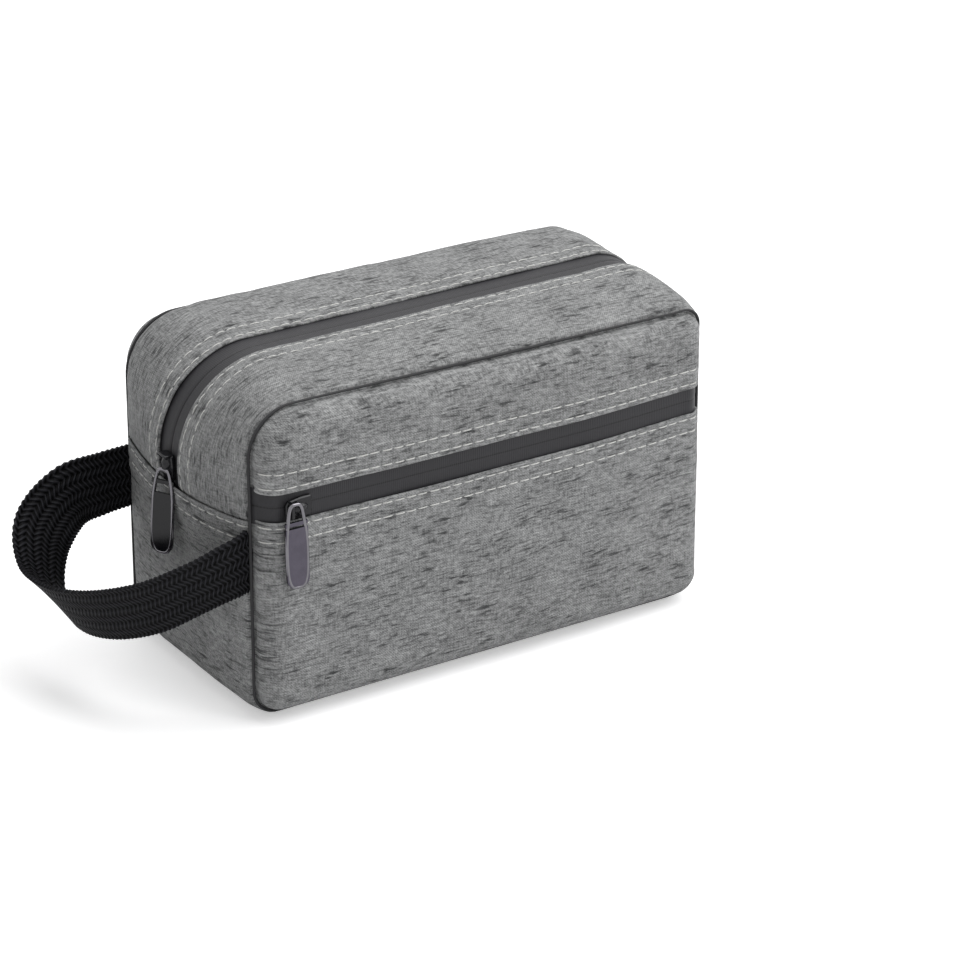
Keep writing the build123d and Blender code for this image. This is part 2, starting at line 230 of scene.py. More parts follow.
class HalfOutline:
    """Half of a rounded trapezium in X-Z, walked from the middle of the base to the middle of the top."""

    def __init__(
        self, half_low: float, half_high: float, low: float, high: float, r_low: float, r_high: float
    ):
        self.low, self.high = low, high
        lean = math.atan2(half_high - half_low, high - low)
        cut_low = r_low * math.tan((math.pi / 2 - lean) / 2)
        cut_high = r_high * math.tan((math.pi / 2 + lean) / 2)
        up = Vector((math.sin(lean), math.cos(lean)))
        self.up = up
        self.foot = Vector((half_low, low)) + up * cut_low
        self.shoulder = Vector((half_high, high)) - up * cut_high
        out = Vector((up.y, -up.x))
        self.centre_low = self.foot - out * r_low
        self.centre_high = self.shoulder - out * r_high
        self.r_low, self.r_high, self.lean = r_low, r_high, lean
        base = half_low - cut_low
        turn_low = math.pi / 2 - lean
        turn_high = math.pi / 2 + lean
        side = (self.shoulder - self.foot).length
        top = half_high - cut_high
        self.marks = [0.0]
        for length in (base, r_low * turn_low, side, r_high * turn_high, top):
            self.marks.append(self.marks[-1] + length)
        self.total = self.marks[-1]

    def at(self, s: float) -> Vector:
        """Returns the point at arc length s, as (distance out along X, Z)."""
        m = self.marks
        if s <= m[1]:
            return Vector((s, self.low))
        if s <= m[2]:
            turn = (s - m[1]) / self.r_low
            return self.centre_low + Vector((math.sin(turn), -math.cos(turn))) * self.r_low
        if s <= m[3]:
            return self.foot + self.up * (s - m[2])
        if s <= m[4]:
            turn = -self.lean + (s - m[3]) / self.r_high
            return self.centre_high + Vector((math.cos(turn), math.sin(turn))) * self.r_high
        return Vector((self.total - s, self.high))

    def length_at_height(self, z: float) -> float:
        """Returns the arc length at which the side reaches height z."""
        lo, hi = self.marks[1], self.marks[4]
        for _ in range(40):
            mid = (lo + hi) / 2
            if self.at(mid).y < z:
                lo = mid
            else:
                hi = mid
        return lo


def fold_noise(p: Vector, scale: float, seed: float = 0.0) -> float:
    """Returns smooth noise in about -1 to 1 at a point, for features of about scale metres."""
    return noise.noise(Vector((p.x + seed, p.y - seed, p.z + 2 * seed)) / scale)


class Gusset:
    """The band that runs over the bag's top, ends and base, between its front and back seams.

    A place on it is a, the arc length from the middle of the top, negative towards the left end, and y.
    """

    def __init__(self, sizes: BagSizes):
        s = self.s = sizes
        radius = {End.LEFT: s.crown_corner_left, End.RIGHT: s.crown_corner_right}
        self.crown = {
            end: HalfOutline(
                s.crown_half_bottom, s.crown_half_top, 0.0, s.crown_top, s.crown_corner_bottom, radius[end]
            )
            for end in End
        }
        self.seam: dict[tuple[End, Face], HalfOutline] = {}
        self.maps: dict[tuple[End, Face], tuple[list[float], list[float]]] = {}
        for end in End:
            crown = self.crown[end]
            for face in Face:
                shape = s.face(face)
                corner = shape.corner_left if end is End.LEFT else shape.corner_right
                half = s.seam_half_length
                seam = HalfOutline(half, half, s.seam_bottom, shape.seam_top, s.seam_corner_bottom, corner)
                top_reach = crown.total - crown.marks[4]
                shoulder = seam.length_at_height(min(crown.shoulder.y, shape.seam_top - corner))
                targets = [0.0, seam.marks[1], seam.marks[2], shoulder, seam.total - top_reach, seam.total]
                self.seam[end, face] = seam
                self.maps[end, face] = (crown.marks, targets)
        self.hem = {end: self.crown[end].total - self.crown[end].length_at_height(s.hem) for end in End}
        self.total = {end: self.crown[end].total for end in End}

    @staticmethod
    def end_of(a: float) -> End:
        """Returns the end of the bag that place a is on."""
        return End.LEFT if a < 0 else End.RIGHT

    def seam_length(self, end: End, face: Face, q: float) -> float:
        """Returns the seam's arc length that faces arc length q on the crown."""
        marks, targets = self.maps[end, face]
        for i in range(len(marks) - 1):
            if q <= marks[i + 1]:
                share = (q - marks[i]) / (marks[i + 1] - marks[i])
                return targets[i] + (targets[i + 1] - targets[i]) * share
        return targets[-1]

    def bare(self, a: float, y: float) -> Vector:
        """Returns the point on the band's smooth form at arc length a and depth position y."""
        s = self.s
        end, face = self.end_of(a), Face.FRONT if y < 0 else Face.BACK
        outline = self.crown[end]
        q = outline.total - abs(a)
        crown = outline.at(q)
        seam = self.seam[end, face].at(self.seam_length(end, face, q))
        low = ease(q, outline.marks[1], outline.marks[2])
        high = ease(q, outline.marks[3], outline.marks[4])
        run_top = s.run_top_front if face is Face.FRONT else s.run_top_back
        run = s.run_base + (s.run_end - s.run_base) * low + (run_top - s.run_end) * high
        out = max(0.0, abs(y) - s.half_depth + run) / run
        point = seam + (crown - seam) * (1 - out * out)
        tilt = s.face(face).tilt * high * ease(abs(y), 0.0, s.half_depth)
        x = end.value * point.x
        z = point.y - tilt * max(-1.0, min(1.0, x / s.seam_half_length))
        if face is Face.BACK:
            swell = ease(y, *s.back_swell_rise) * (1 - ease(y, *s.back_swell_fall))
            z += s.back_swell * swell * high
        return Vector((x, y, z))

    def normal(self, a: float, y: float) -> Vector:
        """Returns the outward normal of the smooth form."""
        e = 0.4 * MM
        limit = self.s.half_depth
        along = self.bare(a + e, y) - self.bare(a - e, y)
        across = self.bare(a, min(limit, y + e)) - self.bare(a, max(-limit, y - e))
        n = along.cross(across).normalized()
        here = self.bare(a, y)
        outward = Vector((here.x / 2, 0, here.z - self.s.middle_height))
        return n if n.dot(outward) > 0 else -n

    def point(self, a: float, y: float, depth: float = 0.0, relief: float = 0.0) -> Vector:
        """Returns the point at (a, y), taken in by depth and raised by relief."""
        return self.bare(a, y) + self.normal(a, y) * (relief - depth)


class Pillow:
    """The front or back panel, which stands proud of the seam like a pillow."""

    def __init__(self, sizes: BagSizes, face: Face):
        self.s, self.face = sizes, face
        self.shape = sizes.face(face)

    def corner(self, x: float, z: float) -> float:
        """Returns the seam's corner radius nearest to a place."""
        if z < (self.s.seam_bottom + self.shape.seam_top) / 2:
            return self.s.seam_corner_bottom
        return self.shape.corner_left if x < 0 else self.shape.corner_right

    def reach(self, side: float, z: float) -> float:
        """Returns the panel's half length at height z, on the side with side's sign."""
        r = self.corner(side, z)
        edge = min(z - self.s.seam_bottom, self.shape.seam_top - z)
        if edge >= r:
            return self.s.seam_half_length
        return self.s.seam_half_length - r + math.sqrt(max(0.0, r**2 - (r - max(0.0, edge)) ** 2))

    def inset(self, x: float, z: float) -> float:
        """Returns the distance from (x, z) in to the nearest seam."""
        r = self.corner(x, z)
        dx = self.s.seam_half_length - abs(x)
        dz = min(z - self.s.seam_bottom, self.shape.seam_top - z)
        if dx < r and dz < r:
            return r - math.hypot(r - dx, r - dz)
        return min(dx, dz)

    def bare(self, x: float, z: float) -> Vector:
        """Returns the point on the pillow's smooth form."""
        s = self.s
        d = max(0.0, self.inset(x, z))
        back = 1 - min(1.0, d / s.pillow_run)
        edge = s.pillow_depth * (1 - back**s.pillow_curve)
        droop = s.right_droop * ease(x, *s.droop_span) * min(1.0, d / s.pillow_run)
        upright = math.sin(math.pi * max(0.0, min(1.0, z / (2 * s.middle_height))))
        swell = s.pillow_swell * (1 - (x / s.seam_half_length) ** 2) * upright
        y = s.half_depth + edge - droop + max(0.0, swell) * min(1.0, d / (2 * s.pillow_run))
        rise = ease(z, s.tilt_start, self.shape.seam_top)
        return Vector((x, self.face.value * y, z - self.shape.tilt * rise * x / s.seam_half_length))

    def normal(self, x: float, z: float) -> Vector:
        """Returns the outward normal of the smooth form."""
        e = 0.3 * MM
        dx = self.bare(x + e, z) - self.bare(x - e, z)
        dz = self.bare(x, z + e) - self.bare(x, z - e)
        n = dx.cross(dz).normalized()
        return n if n.y * self.face.value > 0 else -n

    def point(self, x: float, z: float, depth: float = 0.0, relief: float = 0.0) -> Vector:
        """Returns the point at (x, z), taken in by depth and raised by relief."""
        return self.bare(x, z) + self.normal(x, z) * (relief - depth)


@dataclass(frozen=True)
class Station:
    """One line of a sheet's cross-section: where it lies across the sheet and how far below its surface."""

    across: float
    depth: float = 0.0


def stations(profile: tuple[tuple[float, float], ...], edge: float, sign: float) -> list[Station]:
    """Returns the stations of a profile set off from an edge, towards larger positions where sign is 1."""
    return [Station(edge + sign * off, depth) for off, depth in profile]


def spaced(
    start: float, stop: float, step: float, ease_start: float = 0.0, ease_stop: float = 0.0
) -> list[float]:
    """Returns positions from start to stop, at most step apart and closer near eased ends.

    Args:
        start: First position.
        stop: Last position.
        step: Largest spacing.
        ease_start: Length near the start over which positions crowd together.
        ease_stop: The same near the stop.

    Returns:
        The positions in order.
    """
    closest = 0.35 * MM
    sign = 1.0 if stop > start else -1.0
    length = abs(stop - start)
    places = [0.0]
    while places[-1] < length:
        here = places[-1]
        local = step
        if ease_start:
            local = min(local, closest + step * here / ease_start)
        if ease_stop:
            local = min(local, closest + step * (length - here) / ease_stop)
        places.append(here + local)
    scale = length / places[-1]
    return [start + sign * p * scale for p in places]


def with_stitch_rows(places: list[float], edge: float, sign: float) -> list[float]:
    """Adds positions on and beside the stitch rows, so that the thread lies on the cloth.

    Args:
        places: Positions in order, rising or falling.
        edge: Position of the folded edge.
        sign: 1 where the rows lie above the edge, -1 where they lie below it.

    Returns:
        The positions in the same order.
    """
    beside, closest = 0.9 * MM, 0.3 * MM
    ends = (places[0], places[-1])
    marks = [edge + sign * (row + side) for row in STITCH.rows for side in (-beside, 0.0, beside)]
    kept = [p for p in places if p in ends or min(abs(p - mark) for mark in marks) > closest]
    return sorted(kept + marks, reverse=places[-1] < places[0])


def grid_mesh(
    name: str,
    columns: list[float],
    rows: list[Station],
    place: Callable[[float, Station], Placed],
) -> bpy.types.Object:
    """Builds a sheet of quads with its cloth coordinates as UVs, in metres.

    Args:
        name: Object name.
        columns: Positions along the sheet.
        rows: Stations across the sheet.
        place: Gives the point and the UV for a column and a row.

    Returns:
        The new object.
    """
    bm = bmesh.new()
    uv_layer = bm.loops.layers.uv.new("cloth")
    wide, deep = len(columns) - 1, len(rows) - 1
    bmesh.ops.create_grid(bm, x_segments=wide, y_segments=deep, size=0.5)
    uvs: dict[bmesh.types.BMVert, tuple[float, float]] = {}
    for vert in bm.verts:
        column = columns[round((vert.co.x + 0.5) * wide)]
        row = rows[round((vert.co.y + 0.5) * deep)]
        vert.co, uvs[vert] = place(column, row)
    for face in bm.faces:
        face.smooth = True
        for loop in face.loops:
            loop[uv_layer].uv = uvs[loop.vert]
    bm.normal_update()
    turn_outwards(bm)
    return new_object(name, bm)


def turn_outwards(bm: bmesh.types.BMesh) -> None:
    """Turns a sheet's faces over if most of them look towards the middle of the bag."""
    middle = Vector((0, 0, SIZES.middle_height))
    facing = sum(f.calc_area() * f.normal.dot(f.calc_center_median() - middle) for f in bm.faces)
    if facing < 0:
        bmesh.ops.reverse_faces(bm, faces=bm.faces)


def new_object(name: str, bm: bmesh.types.BMesh) -> bpy.types.Object:
    """Moves a bmesh into a new object in the scene.

    Args:
        name: Object and mesh name.
        bm: The geometry, which is freed.

    Returns:
        The new object.
    """
    mesh = bpy.data.meshes.new(name)
    bm.to_mesh(mesh)
    bm.free()
    return in_scene(name, mesh)


def in_scene(name: str, data: bpy.types.ID) -> bpy.types.Object:
    """Returns a new object that holds the data, linked to the scene."""
    obj = bpy.data.objects.new(name, data)
    bpy.context.scene.collection.objects.link(obj)
    return obj


def rounded_off(bm: bmesh.types.BMesh) -> None:
    """Turns a closed mesh's faces outwards and shades them smooth."""
    bmesh.ops.recalc_face_normals(bm, faces=bm.faces)
    for face in bm.faces:
        face.smooth = True


class Nodes:
    """Short calls for wiring a shader's nodes."""

    def __init__(self, tree: bpy.types.NodeTree):
        self.tree = tree

    def new(self, kind: str, **settings) -> bpy.types.Node:
        """Adds a node and sets its properties."""
        node = self.tree.nodes.new(kind)
        for key, value in settings.items():
            setattr(node, key, value)
        return node

    def link(self, source, target) -> None:
        """Links an output socket to an input socket."""
        self.tree.links.new(source, target)

    def give(self, socket: bpy.types.NodeSocket, value) -> None:
        """Links a socket to another one, or sets its value."""
        if isinstance(value, bpy.types.NodeSocket):
            self.link(value, socket)
        else:
            socket.default_value = value

    def fill(self, node: bpy.types.Node, **values) -> None:
        """Gives a node's inputs their values, by name with underscores for spaces."""
        for name, value in values.items():
            self.give(node.inputs[name.replace("_", " ")], value)

    def math(self, operation: str, a, b=None) -> bpy.types.NodeSocket:
        """Adds a math node on sockets or numbers, and returns its output."""
        node = self.new("ShaderNodeMath", operation=operation)
        for socket, value in zip(node.inputs, (a, b)):
            if value is not None:
                self.give(socket, value)
        return node.outputs[0]

    def add(self, total, *parts: tuple) -> bpy.types.NodeSocket:
        """Adds values to a total, each given with its weight."""
        for value, weight in parts:
            total = self.math("ADD", total, self.math("MULTIPLY", value, weight))
        return total

    def noise(self, vector, scale: float, detail: float = 2.0, rough: float = 0.5) -> bpy.types.NodeSocket:
        """Adds a noise texture and returns its value."""
        node = self.new("ShaderNodeTexNoise")
        self.fill(node, Scale=scale, Detail=detail, Roughness=rough, Vector=vector)
        return node.outputs["Fac"]

    def stretch(self, vector, scale: tuple[float, float, float], turn: float = 0.0) -> bpy.types.NodeSocket:
        """Scales and turns a vector with a mapping node."""
        node = self.new("ShaderNodeMapping")
        self.fill(node, Scale=scale, Rotation=(0, 0, turn), Vector=vector)
        return node.outputs[0]

    def span(self, value, low: float, high: float, to_low: float = 0.0, to_high: float = 1.0):
        """Maps a range of values to another, clamped."""
        node = self.new("ShaderNodeMapRange")
        self.fill(node, From_Min=low, From_Max=high, To_Min=to_low, To_Max=to_high, Value=value)
        return node.outputs[0]

    def mix(self, factor, a, b) -> bpy.types.NodeSocket:
        """Mixes two colours, each a socket or an RGB tuple."""
        node = self.new("ShaderNodeMix", data_type="RGBA")
        self.fill(node, Factor=factor)
        for name, value in (("A", a), ("B", b)):
            socket = next(s for s in node.inputs if s.name == name and s.type == "RGBA")
            self.give(socket, (*value, 1.0) if isinstance(value, tuple) else value)
        return next(s for s in node.outputs if s.type == "RGBA")

    def cloth_place(self) -> tuple[bpy.types.NodeSocket, bpy.types.NodeSocket, bpy.types.NodeSocket]:
        """Returns the piece's cloth coordinates in metres, whole and as along and across."""
        uv = self.new("ShaderNodeUVMap", uv_map="cloth").outputs[0]
        split = self.new("ShaderNodeSeparateXYZ")
        self.link(uv, split.inputs[0])
        return uv, split.outputs[0], split.outputs[1]

    def bump(self, height, strength: float, distance: float) -> bpy.types.NodeSocket:
        """Adds a bump node on a height and returns its normal."""
        node = self.new("ShaderNodeBump")
        self.fill(node, Strength=strength, Distance=distance, Height=height)
        return node.outputs[0]


def start_material(name: str) -> tuple[bpy.types.Material, Nodes, bpy.types.Node]:
    """Makes a material with a principled shader.

    Args:
        name: Material name.

    Returns:
        The material, its wiring helper and its shader node.
    """
    material = bpy.data.materials.new(name)
    material.use_nodes = True
    nodes = Nodes(material.node_tree)
    shader = material.node_tree.nodes["Principled BSDF"]
    return material, nodes, shader


class Effects:
    """Shader node groups that more than one material uses."""

    @staticmethod
    def start(name: str, inputs: dict[str, tuple[str, float]], outputs: dict[str, str]) -> tuple:
        """Makes a group with named inputs and outputs.

        Args:
            name: Group name.
            inputs: Each input's socket kind and default, by name.
            outputs: Each output's socket kind, by name.

        Returns:
            The group's wiring helper, its input node and its output node.
        """
        tree = bpy.data.node_groups.new(name, "ShaderNodeTree")
        for title, (kind, default) in inputs.items():
            socket = tree.interface.new_socket(title, in_out="INPUT", socket_type=kind)
            if kind == "NodeSocketFloat":
                socket.default_value = default
        for title, kind in outputs.items():
            tree.interface.new_socket(title, in_out="OUTPUT", socket_type=kind)
        nodes = Nodes(tree)
        return nodes, nodes.new("NodeGroupInput"), nodes.new("NodeGroupOutput")

    @classmethod
    def get(cls, name: str) -> bpy.types.NodeTree:
        """Returns a group, building it the first time it is asked for."""
        if name not in bpy.data.node_groups:
            {"mottle": cls.mottle, "plain_weave": cls.plain_weave}[name]()
        return bpy.data.node_groups[name]

    @classmethod
    def mottle(cls) -> None:
        """Builds the faint unevenness of a worn surface."""
        n, given, out = cls.start(
            "mottle",
            {"Place": ("NodeSocketVector", 0.0), "Grain": ("NodeSocketFloat", 900.0)},
            {"Value": "NodeSocketFloat"},
        )
        grain = n.noise(given.outputs["Place"], given.outputs["Grain"], 3.0, 0.6)
        n.fill(out, Value=n.span(grain, 0.3, 0.7))

    @classmethod
    def plain_weave(cls) -> None:
        """Builds a plain weave's height, and the unevenness of its weft and warp yarns."""
        n, given, out = cls.start(
            "plain_weave",
            {"Place": ("NodeSocketVector", 0.0), "Thread": ("NodeSocketFloat", 0.75 * MM)},
            {"Height": "NodeSocketFloat", "Weft": "NodeSocketFloat", "Warp": "NodeSocketFloat"},
        )
        place = given.outputs["Place"]
        split = n.new("ShaderNodeSeparateXYZ")
        n.link(place, split.inputs[0])
        turn = n.math("DIVIDE", 2 * math.pi, given.outputs["Thread"])
        along = n.math("SINE", n.math("MULTIPLY", split.outputs[0], turn))
        across = n.math("SINE", n.math("MULTIPLY", split.outputs[1], turn))
        weft = n.noise(n.stretch(place, (0.22, 1.0, 1.0)), 1250.0, 2.0, 0.6)
        warp = n.noise(n.stretch(place, (1.0, 0.25, 1.0)), 1150.0, 1.0, 0.5)
        height = n.math("MULTIPLY", n.math("MULTIPLY", along, across), 0.35)
        n.fill(out, Height=n.add(height, (weft, 0.9), (warp, 0.6)), Weft=weft, Warp=warp)


def effect(n: Nodes, name: str, place, **values: float) -> bpy.types.Node:
    """Adds a group node reading the given coordinates, with its other inputs set."""
    node = n.new("ShaderNodeGroup", node_tree=Effects.get(name))
    n.fill(node, Place=place, **values)
    return node


@dataclass(frozen=True)
class HeatherCloth:
    """Grey melange weave with short dark slubs, light streaks and a faint diagonal hatch."""

    name: str = "heather_cloth"
    light: tuple[float, float, float] = (0.48, 0.485, 0.485)
    dark: tuple[float, float, float] = (0.030, 0.031, 0.032)
    thread: float = 0.75 * MM
    hatch: float = 1.25 * MM

    def build(self) -> bpy.types.Material:
        """Returns the material."""
        material, n, shader = start_material(self.name)
        uv, along, across = n.cloth_place()
        weave = effect(n, "plain_weave", uv, Thread=self.thread)
        slub = n.noise(n.stretch(uv, (0.16, 1.0, 1.0)), 620.0, 2.0, 0.6)
        streak = n.noise(n.stretch(uv, (0.12, 1.0, 1.0), 0.05), 800.0, 2.0, 0.6)
        patch = n.noise(n.stretch(uv, (0.5, 1.0, 1.0)), 90.0, 3.0, 0.6)
        grain = n.noise(uv, 2300.0, 2.0, 0.6)
        tone = n.add(
            n.math("MULTIPLY", n.span(weave.outputs["Weft"], 0.36, 0.64), 0.34),
            (n.span(weave.outputs["Warp"], 0.36, 0.64), 0.20),
            (n.span(grain, 0.34, 0.66), 0.28),
            (n.span(patch, 0.35, 0.65), 0.16),
            (n.span(streak, 0.60, 0.72), 0.34),
        )
        slope = n.add(along, (across, 0.9))
        hatch = n.math("SINE", n.math("MULTIPLY", slope, 2 * math.pi / self.hatch))
        hatched = n.math("MULTIPLY", hatch, n.span(patch, 0.5, 0.7, 0.35, 1.0))
        tone = n.add(tone, (hatched, 0.11))
        dark = n.math("MULTIPLY", n.span(slub, 0.46, 0.34), n.span(patch, 0.62, 0.42, 0.25, 1.0))
        tone = n.math("MULTIPLY", tone, n.math("SUBTRACT", 1.0, n.math("MULTIPLY", dark, 0.85)))
        tone = n.math("MINIMUM", n.math("MAXIMUM", tone, 0.0), 1.0)
        height = n.add(weave.outputs["Height"], (hatch, 0.16))
        n.fill(
            shader, Base_Color=n.mix(tone, self.dark, self.light), Normal=n.bump(height, 0.7, 0.3 * MM),
            Roughness=0.88, Specular_IOR_Level=0.2, Sheen_Weight=0.08, Sheen_Roughness=0.5,
        )
        return material


@dataclass(frozen=True)
class LiningCloth:
    """Plain dark lining."""

    name: str = "lining"
    color: tuple[float, float, float] = (0.030, 0.030, 0.032)

    def build(self) -> bpy.types.Material:
        """Returns the material."""
        material, n, shader = start_material(self.name)
        place = n.new("ShaderNodeTexCoord").outputs["Object"]
        weave = effect(n, "plain_weave", place, Thread=0.6 * MM)
        low = tuple(c * 0.7 for c in self.color)
        color = n.mix(weave.outputs["Weft"], low, self.color)
        normal = n.bump(weave.outputs["Height"], 0.3, 0.15 * MM)
        n.fill(shader, Base_Color=color, Normal=normal, Roughness=0.8)
        return material


@dataclass(frozen=True)
class CoatedTape:
    """Coated zip tape: fine crosswise ribs and a dotted line where its two halves meet."""

    name: str = "coated_tape"
    color: tuple[float, float, float] = (0.020, 0.0195, 0.022)
    rib: float = 1.0 * MM

    def build(self) -> bpy.types.Material:
        """Returns the material."""
        material, n, shader = start_material(self.name)
        uv, along, across = n.cloth_place()
        ribs = n.math("SINE", n.math("MULTIPLY", along, 2 * math.pi / self.rib))
        near = n.span(n.math("ABSOLUTE", across), 0.15 * MM, 0.45 * MM)
        dots = n.span(ribs, -0.3, 0.3, 0.1, 1.0)
        line = n.math("MAXIMUM", near, n.math("MULTIPLY", dots, 0.6))
        worn = effect(n, "mottle", uv, Grain=420.0).outputs["Value"]
        dark = tuple(c * 0.15 for c in self.color)
        tint = tuple(c * 1.35 for c in self.color)
        height = n.add(n.math("MULTIPLY", ribs, 0.6), (near, 2.0))
        n.fill(
            shader, Base_Color=n.mix(line, dark, n.mix(worn, self.color, tint)),
            Roughness=n.span(worn, 0.0, 1.0, 0.44, 0.58), Specular_IOR_Level=0.35,
            Normal=n.bump(height, 0.4, 0.12 * MM),
        )
        return material


@dataclass(frozen=True)
class HerringboneWebbing:
    """Heavy black webbing woven in columns of chevrons, with painted highlights on its raised yarns and
    painted shade in its hollows.
    """

    name: str = "herringbone_webbing"
    color: tuple[float, float, float] = (0.0026, 0.0026, 0.0030)
    column: float = 4.3 * MM
    pick: float = 2.3 * MM

    def build(self) -> bpy.types.Material:
        """Returns the material."""
        material, n, shader = start_material(self.name)
        uv, along, across = n.cloth_place()
        zigzag = n.math("PINGPONG", across, self.column)
        phase = n.add(along, (zigzag, 0.6))
        yarn = n.math("SINE", n.math("MULTIPLY", phase, 2 * math.pi / self.pick))
        rib = n.math("COSINE", n.math("MULTIPLY", across, 2 * math.pi / self.column))
        fibre = n.noise(n.stretch(uv, (1.0, 0.3, 1.0)), 3200.0, 2.0, 0.6)
        height = n.add(n.span(yarn, -0.7, 0.8), (rib, -0.3), (fibre, 0.3))
        # Painted highlight and shade: raised yarns get a lit colour thirteen times the black, hollows a tenth
        # of it.
        lit = tuple(c * 13.0 for c in self.color)
        deep = tuple(c * 0.1 for c in self.color)
        n.fill(
            shader, Base_Color=n.mix(n.span(height, 0.1, 1.3), deep, lit),
            Normal=n.bump(height, 1.0, 1.6 * MM), Roughness=0.5, Specular_IOR_Level=0.08,
        )
        return material


@dataclass(frozen=True)
class PlainFinish:
    """A finish with a faint procedural mottle, for metal and thread."""

    name: str
    color: tuple[float, float, float]
    roughness: float = 0.5
    metallic: float = 0.0
    grain: float = 900.0
    mottle: float = 0.15

    def build(self) -> bpy.types.Material:
        """Returns the material."""
        material, n, shader = start_material(self.name)
        place = n.new("ShaderNodeTexCoord").outputs["Object"]
        worn = effect(n, "mottle", place, Grain=self.grain).outputs["Value"]
        low = tuple(c * (1 - self.mottle) for c in self.color)
        high = tuple(min(1.0, c * (1 + self.mottle)) for c in self.color)
        rough = n.span(worn, 0.0, 1.0, self.roughness * 0.85, min(1.0, self.roughness * 1.15))
        n.fill(shader, Base_Color=n.mix(worn, low, high), Roughness=rough, Metallic=self.metallic)
        return material


@dataclass
class Finishes:
    """Every material of the bag, built once."""

    cloth: bpy.types.Material = field(default_factory=lambda: HeatherCloth().build())
    tape: bpy.types.Material = field(default_factory=lambda: CoatedTape().build())
    webbing: bpy.types.Material = field(default_factory=lambda: HerringboneWebbing().build())
    thread: bpy.types.Material = field(
        default_factory=PlainFinish("thread", (0.62, 0.62, 0.60), 0.7, 0.0, 2500.0, 0.3).build
    )
    slider: bpy.types.Material = field(
        default_factory=PlainFinish("black_slider", (0.012, 0.012, 0.014), 0.22, 0.3, 300.0, 0.1).build
    )
    black_pull: bpy.types.Material = field(
        default_factory=PlainFinish("black_enamel", (0.006, 0.006, 0.008), 0.16, 0.2, 260.0, 0.1).build
    )
    pull: bpy.types.Material = field(
        default_factory=PlainFinish("gunmetal", (0.10, 0.092, 0.115), 0.22, 1.0, 260.0, 0.08).build
    )
    rim: bpy.types.Material = field(
        default_factory=PlainFinish("bright_rim", (0.20, 0.195, 0.21), 0.2, 1.0, 260.0, 0.06).build
    )
    lining: bpy.types.Material = field(default_factory=lambda: LiningCloth().build())


def dress(piece: bpy.types.Object, material: bpy.types.Material) -> None:
    """Gives a piece its material and logs its face count."""
    piece.data.materials.clear()
    piece.data.materials.append(material)
    log.info("%s: %d faces, %s", piece.name, len(piece.data.polygons), material.name)


def stitch_relief(distance: float) -> float:
    """Returns how far the thread pulls the cloth in, at a distance from a folded edge."""
    pull = 0.0
    for row in STITCH.rows:
        pull -= STITCH.dimple * math.exp(-(((distance - row) / STITCH.dimple_width) ** 2))
    return pull


def seam_groove(sizes: BagSizes, distance: float) -> float:
    """Returns how far the seam pulls the cloth in, at a distance from it."""
    return -sizes.seam_groove * math.exp(-((distance / sizes.seam_groove_width) ** 2))


class Stitching:
    """Rows of lockstitch gathered into one mesh."""

    sides = 6
    steps = 5
    flattened = 1.2
    unevenness = 0.25 * MM

    def __init__(self, name: str):
        self.name = name
        self.bm = bmesh.new()
        dash = bmesh.new()
        bmesh.ops.create_cone(
            dash, cap_ends=True, segments=self.sides, radius1=STITCH.radius, radius2=STITCH.radius, depth=1.0,
        )
        upright = [e for e in dash.edges if abs(e.verts[0].co.z - e.verts[1].co.z) > 0.5]
        bmesh.ops.subdivide_edges(dash, edges=upright, cuts=self.steps - 2)
        self.template = bpy.data.meshes.new(f"{name}_dash")
        dash.to_mesh(self.template)
        dash.free()

    def dash(self, surface: Callable[[float], tuple[Vector, Vector]], start: float) -> None:
        """Adds one stitch as a tube that dips into the cloth at both ends."""
        known = len(self.bm.verts)
        self.bm.from_mesh(self.template)
        self.bm.verts.ensure_lookup_table()
        places = [surface(start + STITCH.length * i / (self.steps - 1)) for i in range(self.steps)]
        ahead = places[-1][0] - places[0][0]
        for vert in self.bm.verts[known:]:
            step = round((vert.co.z + 0.5) * (self.steps - 1))
            point, normal = places[step]
            side = ahead.cross(normal).normalized()
            end = abs(2 * step / (self.steps - 1) - 1)
            lift = STITCH.radius * (0.9 - 1.9 * end**3)
            vert.co = point + side * vert.co.x * self.flattened + normal * (vert.co.y + lift)

    def row(
        self, start: float, stop: float, surface: Callable[[float], tuple[Vector, Vector]], seed: float
    ) -> None:
        """Adds a row of stitches along a path.

        Args:
            start: Where the row starts along the path.
            stop: Where it ends.
            surface: Gives the point and normal at a place along the path.
            seed: Shifts the small unevenness of the row.
        """
        place = start
        index = 0
        while place + STITCH.length < stop:
            self.dash(surface, place + self.unevenness * math.sin(index * GOLDEN_TURN + seed))
            place += STITCH.pitch
            index += 1

    def finish(self, finishes: Finishes) -> bpy.types.Object:
        """Returns the rows as one object."""
        rounded_off(self.bm)
        piece = new_object(self.name, self.bm)
        dress(piece, finishes.thread)
        return piece


def bend(piece: bpy.types.Object, face: Face, low: float, high: float) -> None:
    """Bakes a piece's transform into its mesh; it does not bend the piece."""
    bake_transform(piece)


def bend_at_fold(piece: bpy.types.Object, face: Face) -> None:
    """Passes a piece of a face to bend with the heights round the mouth's fold, which only bakes its
    transform.
    """
    bend(piece, face, SIZES.fold - SIZES.fold_blend, SIZES.fold + SIZES.fold_blend)


def bend_over_hem(piece: bpy.types.Object, face: Face) -> None:
    """Passes a piece of the upper band to bend with the heights above the hem, which only bakes its
    transform.
    """
    bend(piece, face, *(SIZES.hem + rise for rise in SIZES.hem_blend))


